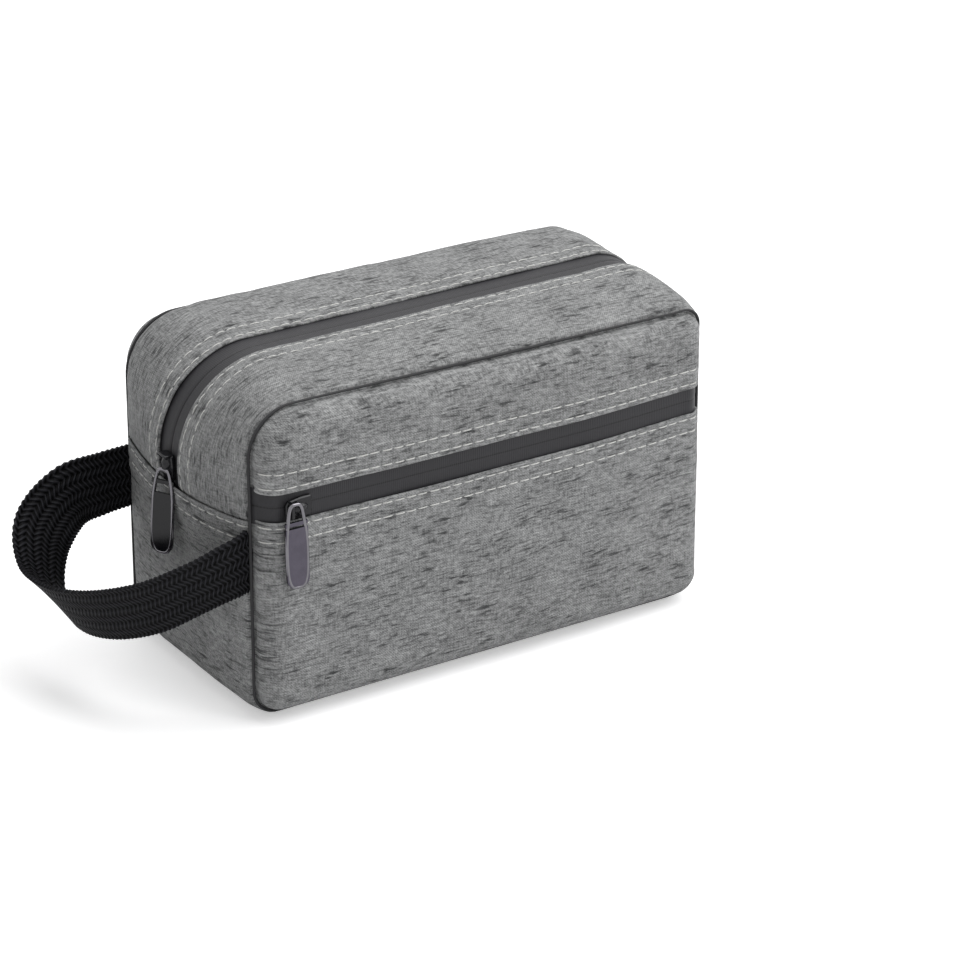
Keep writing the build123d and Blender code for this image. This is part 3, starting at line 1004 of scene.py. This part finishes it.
class FrontBackPanels:
    """The pocket panel, the panel above the pocket zip and the back panel, with the pocket zip's tape."""

    column_step = 2.2 * MM
    row_step = 2.2 * MM
    edge_ease = 14 * MM
    fold_ease = 5 * MM
    roll = 1.2 * MM
    tucked = -1.0
    tuck_depth = 2.2 * MM
    tuck_middle = 70 * MM
    tuck_in = (0.994, 0.99)
    beyond = 1.02
    stitch_gap = 1.5 * MM
    tape_step = 1.0 * MM

    def __init__(self, sizes: BagSizes, finishes: Finishes):
        self.s, self.finishes = sizes, finishes

    def columns(self) -> list[float]:
        """Returns places along the panel, as shares of its half length, crowded towards the seams."""
        half = self.s.seam_half_length
        places = spaced(-half, half, self.column_step, self.edge_ease, self.edge_ease)
        return [-self.beyond] + [p / half for p in places] + [self.beyond]

    def relief(self, pillow: Pillow, x: float, z: float, edge: float) -> float:
        """Returns the cloth's unevenness: broad swells, puckers at the seam and the pull of stitches."""
        d = max(0.0, pillow.inset(x, z))
        return PANEL_UNEVEN.at(pillow.bare(x, z), d) + seam_groove(self.s, d) + stitch_relief(edge)

    def panel(self, name: str, face: Face, low: float, high: float, folded: Edge | None) -> bpy.types.Object:
        """Builds a panel between two heights, tucked in at seams and rolled in at a folded edge.

        Args:
            name: Object name.
            face: The face it lies on.
            low: Height of its lower edge.
            high: Height of its upper edge.
            folded: The edge that is folded in beside the zip, if any.

        Returns:
            The panel.
        """
        low_edge, high_edge = folded is Edge.LOW, folded is Edge.HIGH
        pillow = Pillow(self.s, face)
        rows = stations(FOLD_PROFILE, low, 1) if low_edge else [Station(low, self.tucked)]
        starts, eased_low = (self.roll, self.fold_ease) if low_edge else (0.0, self.edge_ease)
        stops, eased_high = (self.roll, self.fold_ease) if high_edge else (0.0, self.edge_ease)
        body = spaced(low + starts, high - stops, self.row_step, eased_low, eased_high)
        if folded:
            body = with_stitch_rows(body, low if low_edge else high, -folded.value)
        rows += [Station(z) for z in body]
        rows += stations(FOLD_PROFILE, high, -1)[::-1] if high_edge else [Station(high, self.tucked)]

        def place(share: float, row: Station) -> Placed:
            z = row.across
            x = max(-1.0, min(1.0, share)) * pillow.reach(share, z)
            if abs(share) > 1 or row.depth < 0:
                middle = self.tuck_middle
                y = face.value * (self.s.half_depth - self.tuck_depth)
                return Vector((x * self.tuck_in[0], y, middle + (z - middle) * self.tuck_in[1])), (x, z)
            edge = {Edge.LOW: z - low, Edge.HIGH: high - z, None: 1.0}[folded]
            return pillow.point(x, z, row.depth, self.relief(pillow, x, z, edge)), (x, z)

        piece = grid_mesh(name, self.columns(), rows, place)
        dress(piece, self.finishes.cloth)
        return piece

    def tape(self) -> bpy.types.Object:
        """Builds the pocket zip's tape, a little below the panels' folded edges."""
        pillow = Pillow(self.s, Face.FRONT)
        rows = [Station(z) for z in spaced(-self.s.tape_half, self.s.tape_half, self.tape_step)]

        def place(share: float, row: Station) -> Placed:
            z = self.s.pocket_zip + row.across
            x = max(-1.0, min(1.0, share)) * pillow.reach(share, z)
            return pillow.point(x, z, self.s.tape_depth + self.s.tape_dip(row.across)), (x, row.across)

        piece = grid_mesh("pocket_zip_tape_face", self.columns(), rows, place)
        dress(piece, self.finishes.tape)
        return piece

    def stitches(self) -> tuple[bpy.types.Object, bpy.types.Object]:
        """Builds the rows of stitches beside the pocket zip: those below it and those above it."""
        pillow = Pillow(self.s, Face.FRONT)
        end = self.s.seam_half_length - self.stitch_gap
        made = []
        for name, sign in (("pocket_stitches_below", -1), ("pocket_stitches_above", 1)):
            edge = self.s.pocket_zip + sign * self.s.zip_half
            stitching = Stitching(name)
            for k, row in enumerate(STITCH.rows):
                z = edge + sign * row

                def surface(x: float, z: float = z, row: float = row) -> tuple[Vector, Vector]:
                    relief = self.relief(pillow, x, z, row)
                    return pillow.point(x, z, 0.0, relief), pillow.normal(x, z)

                stitching.row(-end, end, surface, k + sign)
            made.append(stitching.finish(self.finishes))
        return made[0], made[1]

    def build(self) -> None:
        """Builds every panel, the pocket zip's tape and the stitches, hides the imported pieces they replace
        and attaches the pocket panel, the tape and the lower stitches to the bag's body.
        """
        s = self.s
        low_edge, high_edge = s.pocket_zip - s.zip_half, s.pocket_zip + s.zip_half
        pocket = self.panel("pocket_cloth", Face.FRONT, s.seam_bottom, low_edge, Edge.HIGH)
        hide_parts("pocket_panel")
        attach(pocket, "bag_body")
        upper = self.panel("front_cloth", Face.FRONT, high_edge, s.front.seam_top, Edge.LOW)
        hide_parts("pocket_zip_facing", "front_flap_panel")
        back = self.panel("back_cloth", Face.BACK, s.seam_bottom, s.back.seam_top, None)
        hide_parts("back_panel", "back_flap_panel")
        bend_at_fold(back, Face.BACK)
        tape = self.tape()
        sides = ("upper", "lower")
        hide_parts(*(f"pocket_zip_{part}_{side}" for part in ("tape", "coil") for side in sides))
        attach(tape, "bag_body")
        below, above = self.stitches()
        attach(below, "bag_body")
        for piece in (upper, above):
            bend_at_fold(piece, Face.FRONT)


class GussetPieces:
    """The upper strips, the mouth zip's tapes, the lower band with its hems, and their stitches."""

    step = 2.4 * MM
    row_step = 2.2 * MM
    seam_gap = 2 * MM
    seam_ease = 9 * MM
    # Sides round the dark tube of painted seam shade.
    seam_shadow_sides = 8
    strip_beyond = 5 * MM
    tape_beyond = 6 * MM
    tape_gap = 0.02 * MM
    tape_step = 1.0 * MM
    under_hem = 1.3 * MM
    under_run = 1.0 * MM
    hem_start = 1.4 * MM
    band_step = 2.6 * MM
    stitch_gap = 1.0 * MM
    hem_stitch_gap = 1.5 * MM

    def __init__(self, sizes: BagSizes, gusset: Gusset, finishes: Finishes):
        self.s, self.g, self.finishes = sizes, gusset, finishes

    def relief(self, a: float, y: float, edge: float) -> float:
        """Returns the cloth's unevenness on the band."""
        d = self.s.half_depth - abs(y)
        return BAND_UNEVEN.at(self.g.bare(a, y), d) + seam_groove(self.s, d) + stitch_relief(edge)

    def lengthwise(self, beyond: float) -> list[float]:
        """Returns places along the band from hem to hem, and some way beyond both."""
        return spaced(-self.g.hem[End.LEFT] - beyond, self.g.hem[End.RIGHT] + beyond, self.step)

    def strip(self, face: Face) -> bpy.types.Object:
        """Builds an upper strip from one hem to the other, with its folded edge along the zip."""
        s, g = self.s, self.g
        sign = face.value
        rows = stations(SEAM_PROFILE, s.half_depth, -1)
        start, stop = s.half_depth - self.seam_gap, s.mouth_half + FrontBackPanels.roll
        body = spaced(start, stop, self.row_step, self.seam_ease, FrontBackPanels.fold_ease)
        rows += [Station(y) for y in with_stitch_rows(body, s.mouth_half, 1)]
        rows += stations(FOLD_PROFILE, s.mouth_half, 1)[::-1]
        places = self.lengthwise(self.strip_beyond)

        def place(a: float, row: Station) -> Placed:
            under = max(0.0, abs(a) - g.hem[g.end_of(a)] + self.under_run)
            depth = row.depth + min(self.under_hem, under)
            edge = row.across - s.mouth_half
            relief = self.relief(a, sign * row.across, edge)
            return g.point(a, sign * row.across, depth, relief), (a, row.across)

        piece = grid_mesh(f"gusset_strip_{face.name.lower()}", places, rows, place)
        dress(piece, self.finishes.cloth)
        return piece

    def tape(self, face: Face) -> bpy.types.Object:
        """Builds one half of the mouth zip's tape."""
        s, g = self.s, self.g
        sign = face.value
        rows = [Station(y) for y in spaced(s.mouth_tape_half, self.tape_gap, self.tape_step)]
        places = self.lengthwise(self.tape_beyond)

        def place(a: float, row: Station) -> Placed:
            return g.point(a, sign * row.across, s.tape_depth + s.tape_dip(row.across)), (a, row.across)

        piece = grid_mesh(f"mouth_zip_face_{face.name.lower()}", places, rows, place)
        dress(piece, self.finishes.tape)
        return piece

    def lower_band(self) -> bpy.types.Object:
        """Builds the band under the base and up both ends, to its folded hems."""
        s, g = self.s, self.g
        halves = {}
        for end in End:
            top = g.hem[end]
            places = spaced(top + self.hem_start, g.total[end], self.row_step, 4 * MM)
            body = with_stitch_rows(places, top, 1)
            rise = [(a, -HEM_LIFT * max(0.0, min(1.0, 1 - (a - top - HEM_WIDE) / HEM_FADE))) for a in body]
            halves[end] = [(top + off, depth) for off, depth in HEM_PROFILE] + rise
        lengthwise = [(-a, d) for a, d in halves[End.LEFT]] + halves[End.RIGHT][-2::-1]
        wide = s.half_depth - self.seam_gap
        rows = stations(SEAM_PROFILE, s.half_depth, -1)
        rows += [Station(y) for y in spaced(wide, -wide, self.band_step, self.seam_ease, self.seam_ease)]
        rows += stations(SEAM_PROFILE, -s.half_depth, 1)[::-1]
        keys = list(range(len(lengthwise)))

        def place(key: float, row: Station) -> Placed:
            a, lift = lengthwise[int(key)]
            end = g.end_of(a)
            relief = self.relief(a, row.across, abs(a) - g.hem[end])
            if abs(a) > g.total[end] - g.crown[end].marks[1]:
                relief = 0.0
            return g.point(a, row.across, row.depth + lift, relief), (row.across, a)

        piece = grid_mesh("lower_band_cloth", keys, rows, place)
        dress(piece, self.finishes.cloth)
        return piece

    def strip_stitches(self, face: Face) -> bpy.types.Object:
        """Builds the two rows of stitches along one side of the mouth zip."""
        s, g = self.s, self.g
        stitching = Stitching(f"mouth_stitches_{face.name.lower()}")
        for k, row in enumerate(STITCH.rows):
            y = face.value * (s.mouth_half + row)

            def surface(a: float, y: float = y, row: float = row) -> tuple[Vector, Vector]:
                return g.point(a, y, 0.0, self.relief(a, y, row)), g.normal(a, y)

            start, stop = self.stitch_gap - g.hem[End.LEFT], g.hem[End.RIGHT] - self.stitch_gap
            stitching.row(start, stop, surface, 3 * k + face.value)
        return stitching.finish(self.finishes)

    def hem_stitches(self) -> bpy.types.Object:
        """Builds the rows of stitches under both hems."""
        s, g = self.s, self.g
        stitching = Stitching("hem_stitches")
        for end in End:
            for k, row in enumerate(STITCH.rows):
                a = end.value * (g.hem[end] + row)

                def surface(y: float, a: float = a, row: float = row) -> tuple[Vector, Vector]:
                    return g.point(a, y, -HEM_LIFT, self.relief(a, y, row)), g.normal(a, y)

                reach = s.half_depth - self.hem_stitch_gap
                stitching.row(-reach, reach, surface, 5 * k + end.value)
        return stitching.finish(self.finishes)

    def seam_shadow_tube(self, face: Face) -> bpy.types.Object:
        """Builds a dark tube of painted shade laid in the seam all round one face, standing for the shadow in
        the seam's crease.
        """
        s, g = self.s, self.g
        rows = [Station(i / self.seam_shadow_sides) for i in range(self.seam_shadow_sides + 1)]
        places = spaced(-g.total[End.LEFT], g.total[End.RIGHT], self.step)
        limit = face.value * s.half_depth

        def place(a: float, row: Station) -> Placed:
            turn = 2 * math.pi * row.across
            out = g.bare(a, limit) - Vector((0, 0, s.middle_height))
            out.y = 0
            out.normalize()
            ring = out * math.cos(turn) + Vector((0, face.value, 0)) * math.sin(turn)
            return g.bare(a, limit) + out * s.seam_shadow_rise + ring * s.seam_shadow_radius, (a, row.across)

        piece = grid_mesh(f"seam_bead_{face.name.lower()}", places, rows, place)
        # The lining's dark colour on this tube paints the seam's shade.
        dress(piece, self.finishes.lining)
        return piece

    def build(self) -> None:
        """Builds every piece of the band, hides the imported pieces they replace and attaches the lower band
        and the hem stitches to the bag's body.
        """
        for face in Face:
            # Each face gets a dark tube of painted shade in its seam.
            bend_at_fold(self.seam_shadow_tube(face), face)
        band = self.lower_band()
        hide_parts("base_gusset", "gusset_hem_left", "gusset_hem_right")
        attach(band, "bag_body")
        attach(self.hem_stitches(), "bag_body")
        for face in Face:
            side = face.name.lower()
            strip = self.strip(face)
            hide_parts(f"gusset_foot_{side}", f"top_gusset_{side}")
            tape = self.tape(face)
            runs = ("", "foot_")
            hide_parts(*(f"mouth_zip_{run}{part}_{side}" for part in ("tape", "coil") for run in runs))
            for piece in (strip, tape, self.strip_stitches(face)):
                bend_over_hem(piece, face)


@dataclass(frozen=True)
class LoopSizes:
    """Sizes of the webbing loop, in metres."""

    width: float = 30 * MM
    thickness: float = 1.8 * MM
    pick: float = 2.3 * MM
    steps: int = 300


class WebbingLoop:
    """The webbing loop, sewn into both seams of the left end."""

    spine = [
        Vector(place)
        for place in (
            (-0.1165, -0.0545, 0.0800), (-0.1290, -0.0545, 0.0765), (-0.1440, -0.0480, 0.0690),
            (-0.1600, -0.0330, 0.0575), (-0.1720, -0.0090, 0.0475), (-0.1775, 0.0160, 0.0430),
            (-0.1765, 0.0360, 0.0480), (-0.1690, 0.0490, 0.0640), (-0.1530, 0.0545, 0.0760),
            (-0.1350, 0.0545, 0.0790), (-0.1165, 0.0545, 0.0800),
        )
    ]
    lean = [0.0, -0.18, -0.38, -0.42, -0.46, -0.58, -0.78, -0.72, -0.28, -0.06, 0.0]
    reach = 0.004
    scallop = 0.022
    row_step = 2.4 * MM
    row_ease = 2 * MM
    blend_x = (-0.120, -0.134)
    blend_z = 0.08

    def __init__(self, sizes: LoopSizes, finishes: Finishes):
        self.s, self.finishes = sizes, finishes

    @staticmethod
    def between(values: list, t: float):
        """Returns the value at t from 0 to 1 on a smooth curve through values."""
        place = t * (len(values) - 1)
        i = min(len(values) - 2, int(place))
        f = place - i
        p1, p2 = values[i], values[i + 1]
        p0 = values[i - 1] if i else p1 + (p1 - p2)
        p3 = values[i + 2] if i + 2 < len(values) else p2 + (p2 - p1)
        square = 2 * p0 - 5 * p1 + 4 * p2 - p3
        cube = 3 * p1 - p0 - 3 * p2 + p3
        return 0.5 * (2 * p1 + (p2 - p0) * f + square * f**2 + cube * f**3)

    def ribbon(self, t: float, along: float, width: float) -> Vector:
        """Returns the point at share t along the loop and width across it, on its middle surface.

        Args:
            t: Share of the loop's length, from its front end.
            along: Distance along the loop, for the picks' scalloped edge.
            width: Distance across from the middle.

        Returns:
            The point.
        """
        after, before = min(1.0, t + self.reach), max(0.0, t - self.reach)
        ahead = (self.between(self.spine, after) - self.between(self.spine, before)).normalized()
        up = Vector((0, 0, 1)) - ahead * ahead.z
        up.normalize()
        lean = self.between(self.lean, t)
        across = up * math.cos(lean) + ahead.cross(up) * math.sin(lean)
        at_edge = (abs(width) / (self.s.width / 2)) ** 4
        grown = 1 + self.scallop * math.sin(2 * math.pi * along / self.s.pick) * at_edge
        return self.between(self.spine, t) + across * width * grown

    def build(self) -> None:
        """Builds the loop as one woven band, thickened and shaded smooth."""
        half = self.s.width / 2
        count = self.s.steps
        points = [self.between(self.spine, i / count) for i in range(count + 1)]
        along = [0.0]
        for a, b in zip(points, points[1:]):
            along.append(along[-1] + (b - a).length)
        rows = [Station(w) for w in spaced(-half, half, self.row_step, self.row_ease, self.row_ease)]

        def place(key: float, row: Station) -> Placed:
            i = int(key)
            return self.ribbon(i / count, along[i], row.across), (along[i], row.across)

        piece = grid_mesh("webbing", [float(i) for i in range(count + 1)], rows, place)
        bm = bmesh.new()
        bm.from_mesh(piece.data)
        bmesh.ops.solidify(bm, geom=list(bm.faces), thickness=self.s.thickness)
        rounded_off(bm)
        bm.to_mesh(piece.data)
        bm.free()
        dress(piece, self.finishes.webbing)
        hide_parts("webbing_loop", "webbing_end_front", "webbing_end_back")
        start, end = ((x, 0, self.blend_z) for x in self.blend_x)
        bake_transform(piece)
        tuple(start)
        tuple(end)
        log.info("webbing: loop %.0f mm long", along[-1] / MM)


class Linings:
    """The lining inside the band, the panels and the mouth's strips."""

    step = 6 * MM

    def __init__(self, sizes: BagSizes, gusset: Gusset, finishes: Finishes):
        self.s, self.g, self.finishes = sizes, gusset, finishes

    def band(self, name: str, keys: list[float], ys: list[float], *nodes: str) -> bpy.types.Object:
        """Builds a piece of lining under the band."""
        rows = [Station(y) for y in ys]

        def place(a: float, row: Station) -> Placed:
            return self.g.point(a, row.across, self.s.lining_depth), (a, row.across)

        return self.close(grid_mesh(name, keys, rows, place), nodes)

    def panel(self, face: Face, *nodes: str) -> bpy.types.Object:
        """Builds the lining behind a whole face."""
        s = self.s
        pillow = Pillow(s, face)
        top = s.face(face).seam_top
        inner = s.lining_depth
        rows = [Station(z) for z in spaced(s.seam_bottom + inner, top - inner, self.step)]
        half = s.seam_half_length
        shares = [p / half for p in spaced(-half, half, self.step)]

        def place(share: float, row: Station) -> Placed:
            x = share * (pillow.reach(share, row.across) - inner)
            bare = pillow.bare(x, row.across)
            y = face.value * min(s.lining_wall, abs(bare.y) - inner)
            return Vector((bare.x, y, bare.z)), (x, row.across)

        return self.close(grid_mesh(f"lining_panel_{face.name.lower()}", shares, rows, place), nodes)

    def close(self, piece: bpy.types.Object, nodes: tuple[str, ...]) -> bpy.types.Object:
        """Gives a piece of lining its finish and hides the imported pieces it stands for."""
        dress(piece, self.finishes.lining)
        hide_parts(*nodes)
        return piece

    def build(self) -> None:
        """Builds every lining piece and attaches the band's lining to the bag's body."""
        s, g = self.s, self.g
        wide = s.half_depth - s.lining_depth
        left = spaced(-g.hem[End.LEFT], -g.total[End.LEFT], self.step)
        right = spaced(g.total[End.RIGHT], g.hem[End.RIGHT], self.step)
        ys = spaced(-wide, wide, self.step)
        tub = self.band("lining_band", left + right[1:], ys, "lining_tub", "base_padding")
        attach(tub, "bag_body")
        for face in Face:
            side = face.name.lower()
            seam = "pocket_back_wall" if face is Face.FRONT else "back_padding"
            panel = self.panel(face, seam, f"{side}_seam_binding")
            bend_at_fold(panel, face)
            ys = spaced(face.value * wide, face.value * (s.zip_half + 3 * MM), self.step)
            places = spaced(-g.hem[End.LEFT], g.hem[End.RIGHT], self.step)
            nodes = (f"{side}_flap_lining", f"{side}_flap_binding")
            strip = self.band(f"lining_strip_{side}", places, ys, *nodes)
            bend_over_hem(strip, face)


@dataclass(frozen=True)
class PullShape:
    """A long pull with a window at its top, in metres, hung from a point."""

    hang: tuple[float, float, float]
    down: tuple[float, float, float]
    face: tuple[float, float, float]
    half_width: float = 6.0 * MM
    half_top: float = 4.9 * MM
    length: float = 41 * MM
    head: float = 4 * MM
    window: float = 10.5 * MM
    bar: float = 6.0 * MM
    thickness: float = 1.5 * MM
    rim: float = 0.9 * MM


@dataclass(frozen=True)
class SliderShape:
    """A zip slider's cap: where it stands, which way it runs along the zip and its pull."""

    name: str
    body: str
    pull_body: str
    crown: str
    pull_node: str
    place: tuple[float, float, float]
    along: tuple[float, float, float]
    out: tuple[float, float, float]
    pull: PullShape
    black: bool
    cap_length: float = 9.6 * MM
    cap_width: float = 5.6 * MM
    cap_height: float = 3.4 * MM


MOUTH_SLIDER = SliderShape(
    "mouth", "mouth_slider", "mouth_pull", "mouth_slider_crown", "mouth_pull",
    (-0.12905, 0.0, 0.1080), (-0.08, 0.0, -1.0), (-1.0, 0.0, 0.08),
    PullShape((-0.1316, 0.0, 0.1058), (-0.08, -0.04, -1.0), (-0.87, -0.50, 0.06), head=0.9 * MM), True,
)
POCKET_SLIDER = SliderShape(
    "pocket", "pocket_slider", "pocket_pull", "pocket_slider_crown", "pocket_pull",
    (-0.1010, -0.0654, 0.1055), (1.0, 0.0, 0.0), (0.0, -1.0, 0.0),
    PullShape((-0.1042, -0.0690, 0.1055), (0.0, -0.03, -1.0), (0.0, -1.0, 0.03)), False,
)


class ZipSlider:
    """A slider's domed cap, its upright plate and its long pull."""

    around = 10
    steps = 64
    squareness = 0.55
    bead_share = 0.62

    def __init__(self, shape: SliderShape, finishes: Finishes):
        self.s, self.finishes = shape, finishes

    @staticmethod
    def axes(
        main: tuple[float, float, float], out: tuple[float, float, float]
    ) -> tuple[Vector, Vector, Vector]:
        """Returns unit vectors along main, across it, and outwards."""
        along = Vector(main).normalized()
        side = along.cross(Vector(out)).normalized()
        return along, side, side.cross(along)

    def outline(self, share: float, low: float, high: float, inner: float) -> tuple[float, float]:
        """Returns the point at a share around a stadium-like outline, as (across, down).

        Args:
            share: Share of the way round, from 0 to 1.
            low: Distance down to its top end.
            high: Distance down to its bottom end.
            inner: How far inside the pull's edge it runs.

        Returns:
            The point across and down.
        """
        p = self.s.pull
        turn = 2 * math.pi * share
        c, n = math.cos(turn), math.sin(turn)
        across = math.copysign(abs(c) ** self.squareness, c)
        lengthwise = math.copysign(abs(n) ** self.squareness, n)
        middle, reach = (low + high) / 2, (high - low) / 2
        down = middle + lengthwise * reach
        width = p.half_top + (p.half_width - p.half_top) * ease(down, 0.0, p.length * 0.4) - inner
        return across * width, down

    def rim(self, name: str, low: float, high: float, inner: float, thick: float) -> bpy.types.Object:
        """Builds a rounded bead round an outline of the pull."""
        p = self.s.pull
        down, side, out = self.axes(p.down, p.face)
        start = Vector(p.hang)
        columns = [i / self.steps for i in range(self.steps + 1)]
        rows = [Station(i / self.around) for i in range(self.around + 1)]

        def place(share: float, row: Station) -> Placed:
            x, z = self.outline(share % 1.0, low, high, inner)
            wide, deep = self.outline(share % 1.0, low, high, inner + thick)
            turn = 2 * math.pi * row.across
            mix = 0.5 + 0.5 * math.cos(turn)
            x, z = x + (wide - x) * mix, z + (deep - z) * mix
            z += (high + low - 2 * z) / (high - low) * thick * mix
            raised = out * (math.sin(turn) * p.thickness * self.bead_share)
            return start + down * z + side * x + raised, (share, row.across)

        return grid_mesh(name, columns, rows, place)

    def plate(self, bm: bmesh.types.BMesh, low: float, high: float, thick: float) -> None:
        """Adds the flat part of the pull between two distances down."""
        p = self.s.pull
        down, side, out = self.axes(p.down, p.face)
        matrix = Matrix((side, down, out)).transposed().to_4x4()
        matrix.translation = Vector(p.hang) + down * (low + high) / 2
        made = bmesh.ops.create_cube(bm, size=1.0)["verts"]
        width = 2 * (p.half_width - 0.5 * p.rim)
        bmesh.ops.scale(bm, vec=(width, high - low, thick), verts=made)
        edges = {e for v in made for e in v.link_edges}
        upright = {e for e in edges if abs(e.verts[0].co.z - e.verts[1].co.z) > thick / 2}
        if high - low > 2 * p.bar:
            far = [e for e in upright if e.verts[0].co.y > 0]
            made += bmesh.ops.bevel(
                bm, geom=far, offset=0.75 * p.half_width, segments=6, profile=0.5, affect="EDGES",
                material=-1,
            )["verts"]
        bmesh.ops.transform(bm, matrix=matrix, verts=[v for v in set(made) if v.is_valid])

    def hang_pull(self) -> None:
        """Builds the pull: a bright bead round its edge and a dark face with a window over it."""
        s, p = self.s, self.s.pull
        top = -p.head
        bead = self.rim(f"{s.name}_pull_rim", top, p.length - p.head, 0.0, 2 * p.rim)
        bm = bmesh.new()
        bm.from_mesh(bead.data)
        bmesh.ops.remove_doubles(bm, verts=bm.verts, dist=0.01 * MM)
        bmesh.ops.recalc_face_normals(bm, faces=bm.faces)
        bm.to_mesh(bead.data)
        bm.free()
        dress(bead, self.finishes.rim)
        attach(bead, s.pull_body)
        bm = bmesh.new()
        self.plate(bm, p.window - p.head + 1.5 * MM, p.length - p.head - 0.6 * p.rim, p.thickness)
        self.plate(bm, p.bar - 1.0 * MM, p.bar + 0.8 * MM, 0.8 * p.thickness)
        bmesh.ops.recalc_face_normals(bm, faces=bm.faces)
        face = new_object(f"{s.name}_pull_face", bm)
        dress(face, self.finishes.black_pull if s.black else self.finishes.pull)
        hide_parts(s.pull_node)
        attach(face, s.pull_body)

    def cap(self) -> None:
        """Builds the domed cap over the slider, with its upright plate at the far end."""
        s = self.s
        along, side, out = self.axes(s.along, s.out)
        matrix = Matrix((along, side, out)).transposed().to_4x4()
        matrix.translation = Vector(s.place)
        bm = bmesh.new()
        made = bmesh.ops.create_uvsphere(bm, u_segments=24, v_segments=14, radius=0.5)["verts"]
        bmesh.ops.scale(bm, vec=(s.cap_length, s.cap_width, 2 * s.cap_height), verts=made)
        geometry = bm.verts[:] + bm.edges[:] + bm.faces[:]
        cut = bmesh.ops.bisect_plane(
            bm, geom=geometry, plane_co=(0, 0, 0), plane_no=(0, 0, -1), clear_outer=True
        )
        rim = [g for g in cut["geom_cut"] if isinstance(g, bmesh.types.BMEdge)]
        bmesh.ops.holes_fill(bm, edges=rim)
        plate = bmesh.ops.create_cube(bm, size=1.0)["verts"]
        bmesh.ops.scale(bm, vec=(1.6 * MM, 1.35 * s.cap_width, 1.5 * s.cap_height), verts=plate)
        bmesh.ops.translate(bm, vec=(-0.47 * s.cap_length, 0, 0.5 * s.cap_height), verts=plate)
        edges = list({e for v in plate for e in v.link_edges})
        bmesh.ops.bevel(bm, geom=edges, offset=0.5 * MM, segments=2, profile=0.5, affect="EDGES", material=-1)
        bmesh.ops.transform(bm, matrix=matrix, verts=bm.verts)
        rounded_off(bm)
        piece = new_object(f"{s.name}_slider_cap", bm)
        dress(piece, self.finishes.slider)
        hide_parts(s.crown)
        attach(piece, s.body)

    def build(self) -> None:
        """Builds the cap and the pull."""
        self.cap()
        self.hang_pull()


class FrameFinish:
    """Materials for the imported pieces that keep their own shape."""

    def __init__(self, finishes: Finishes):
        self.by_slot = {
            "lining": finishes.lining, "padding": finishes.lining, "binding": finishes.lining,
            "zip_tape": finishes.lining, "zip_coil": finishes.lining, "slider_metal": finishes.slider,
            "pull_metal": finishes.pull, "webbing": finishes.webbing, "outer_fabric": finishes.lining,
        }

    def apply(self, frame: dict) -> None:
        """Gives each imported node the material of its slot."""
        for entry in frame["record"]["subparts"]:
            obj = frame["nodes"][entry["node"]]
            material = self.by_slot[entry["material_slot"]]
            if not obj.material_slots:
                obj.data.materials.append(material)
            for slot in obj.material_slots:
                slot.material = material


@dataclass(frozen=True)
class Studio:
    """The camera, the pale floor and the soft lights."""

    azimuth: float = -32.8
    elevation: float = 24.8
    distance: float = 2.002
    target: tuple[float, float, float] = (0.0398, 0.0, 0.0538)
    lens: float = 157.5
    lit: tuple[float, float, float] = (0.0, 0.0, 0.08)

    def camera(self) -> None:
        """Places the camera at the photograph's viewing angle."""
        data = bpy.data.cameras.new("camera")
        data.lens = self.lens
        data.sensor_width = 36.0
        data.clip_end = 50.0
        camera = in_scene("camera", data)
        az, el = math.radians(self.azimuth), math.radians(self.elevation)
        back = Vector((math.sin(az) * math.cos(el), -math.cos(az) * math.cos(el), math.sin(el)))
        camera.location = Vector(self.target) + back * self.distance
        camera.rotation_euler = back.to_track_quat("Z", "Y").to_euler()
        bpy.context.scene.camera = camera

    def floor(self) -> None:
        """Lays a large white floor, lifted for the camera only so that it reads as white paper."""
        bm = bmesh.new()
        bmesh.ops.create_grid(bm, x_segments=1, y_segments=1, size=6.0)
        floor = new_object("floor", bm)
        material, n, shader = start_material("white_floor")
        path = n.new("ShaderNodeLightPath")
        n.fill(
            shader, Base_Color=(0.93, 0.93, 0.935, 1), Roughness=0.9, Specular_IOR_Level=0.0,
            Emission_Color=(0.42, 0.42, 0.42, 1), Emission_Strength=path.outputs["Is Camera Ray"],
        )
        floor.data.materials.append(material)

    def area(self, name: str, place: tuple[float, float, float], size: float, power: float) -> None:
        """Adds a square lamp that looks at the bag."""
        data = bpy.data.lights.new(name, "AREA")
        data.size = size
        data.energy = power
        lamp = in_scene(name, data)
        lamp.location = place
        lamp.rotation_euler = (Vector(place) - Vector(self.lit)).to_track_quat("Z", "Y").to_euler()

    def lights(self) -> None:
        """Sets the world and the lamps."""
        world = bpy.data.worlds.new("studio")
        bpy.context.scene.world = world
        world.use_nodes = True
        n = Nodes(world.node_tree)
        background = world.node_tree.nodes["Background"]
        path = n.new("ShaderNodeLightPath")
        seen = n.math("MAXIMUM", path.outputs["Is Camera Ray"], path.outputs["Is Glossy Ray"])
        n.fill(background, Strength=n.span(seen, 0.0, 1.0, 0.42, 1.0), Color=(1, 1, 1, 1))
        self.area("key", (1.5, -1.2, 2.0), 2.3, 45.0)
        self.area("top", (0.35, 0.3, 2.3), 1.8, 26.0)

    def build(self) -> None:
        """Builds the whole set."""
        self.camera()
        self.floor()
        self.lights()
        bpy.context.scene.view_settings.view_transform = "Standard"


def main() -> None:
    """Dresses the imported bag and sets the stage."""
    logging.basicConfig(level=logging.INFO)
    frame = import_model()
    Studio().build()
    finishes = Finishes()
    FrameFinish(finishes).apply(frame)
    gusset = Gusset(SIZES)
    FrontBackPanels(SIZES, finishes).build()
    GussetPieces(SIZES, gusset, finishes).build()
    Linings(SIZES, gusset, finishes).build()
    WebbingLoop(LoopSizes(), finishes).build()
    for slider in (MOUTH_SLIDER, POCKET_SLIDER):
        ZipSlider(slider, finishes).build()
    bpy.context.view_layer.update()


if __name__ == "__main__":
    main()
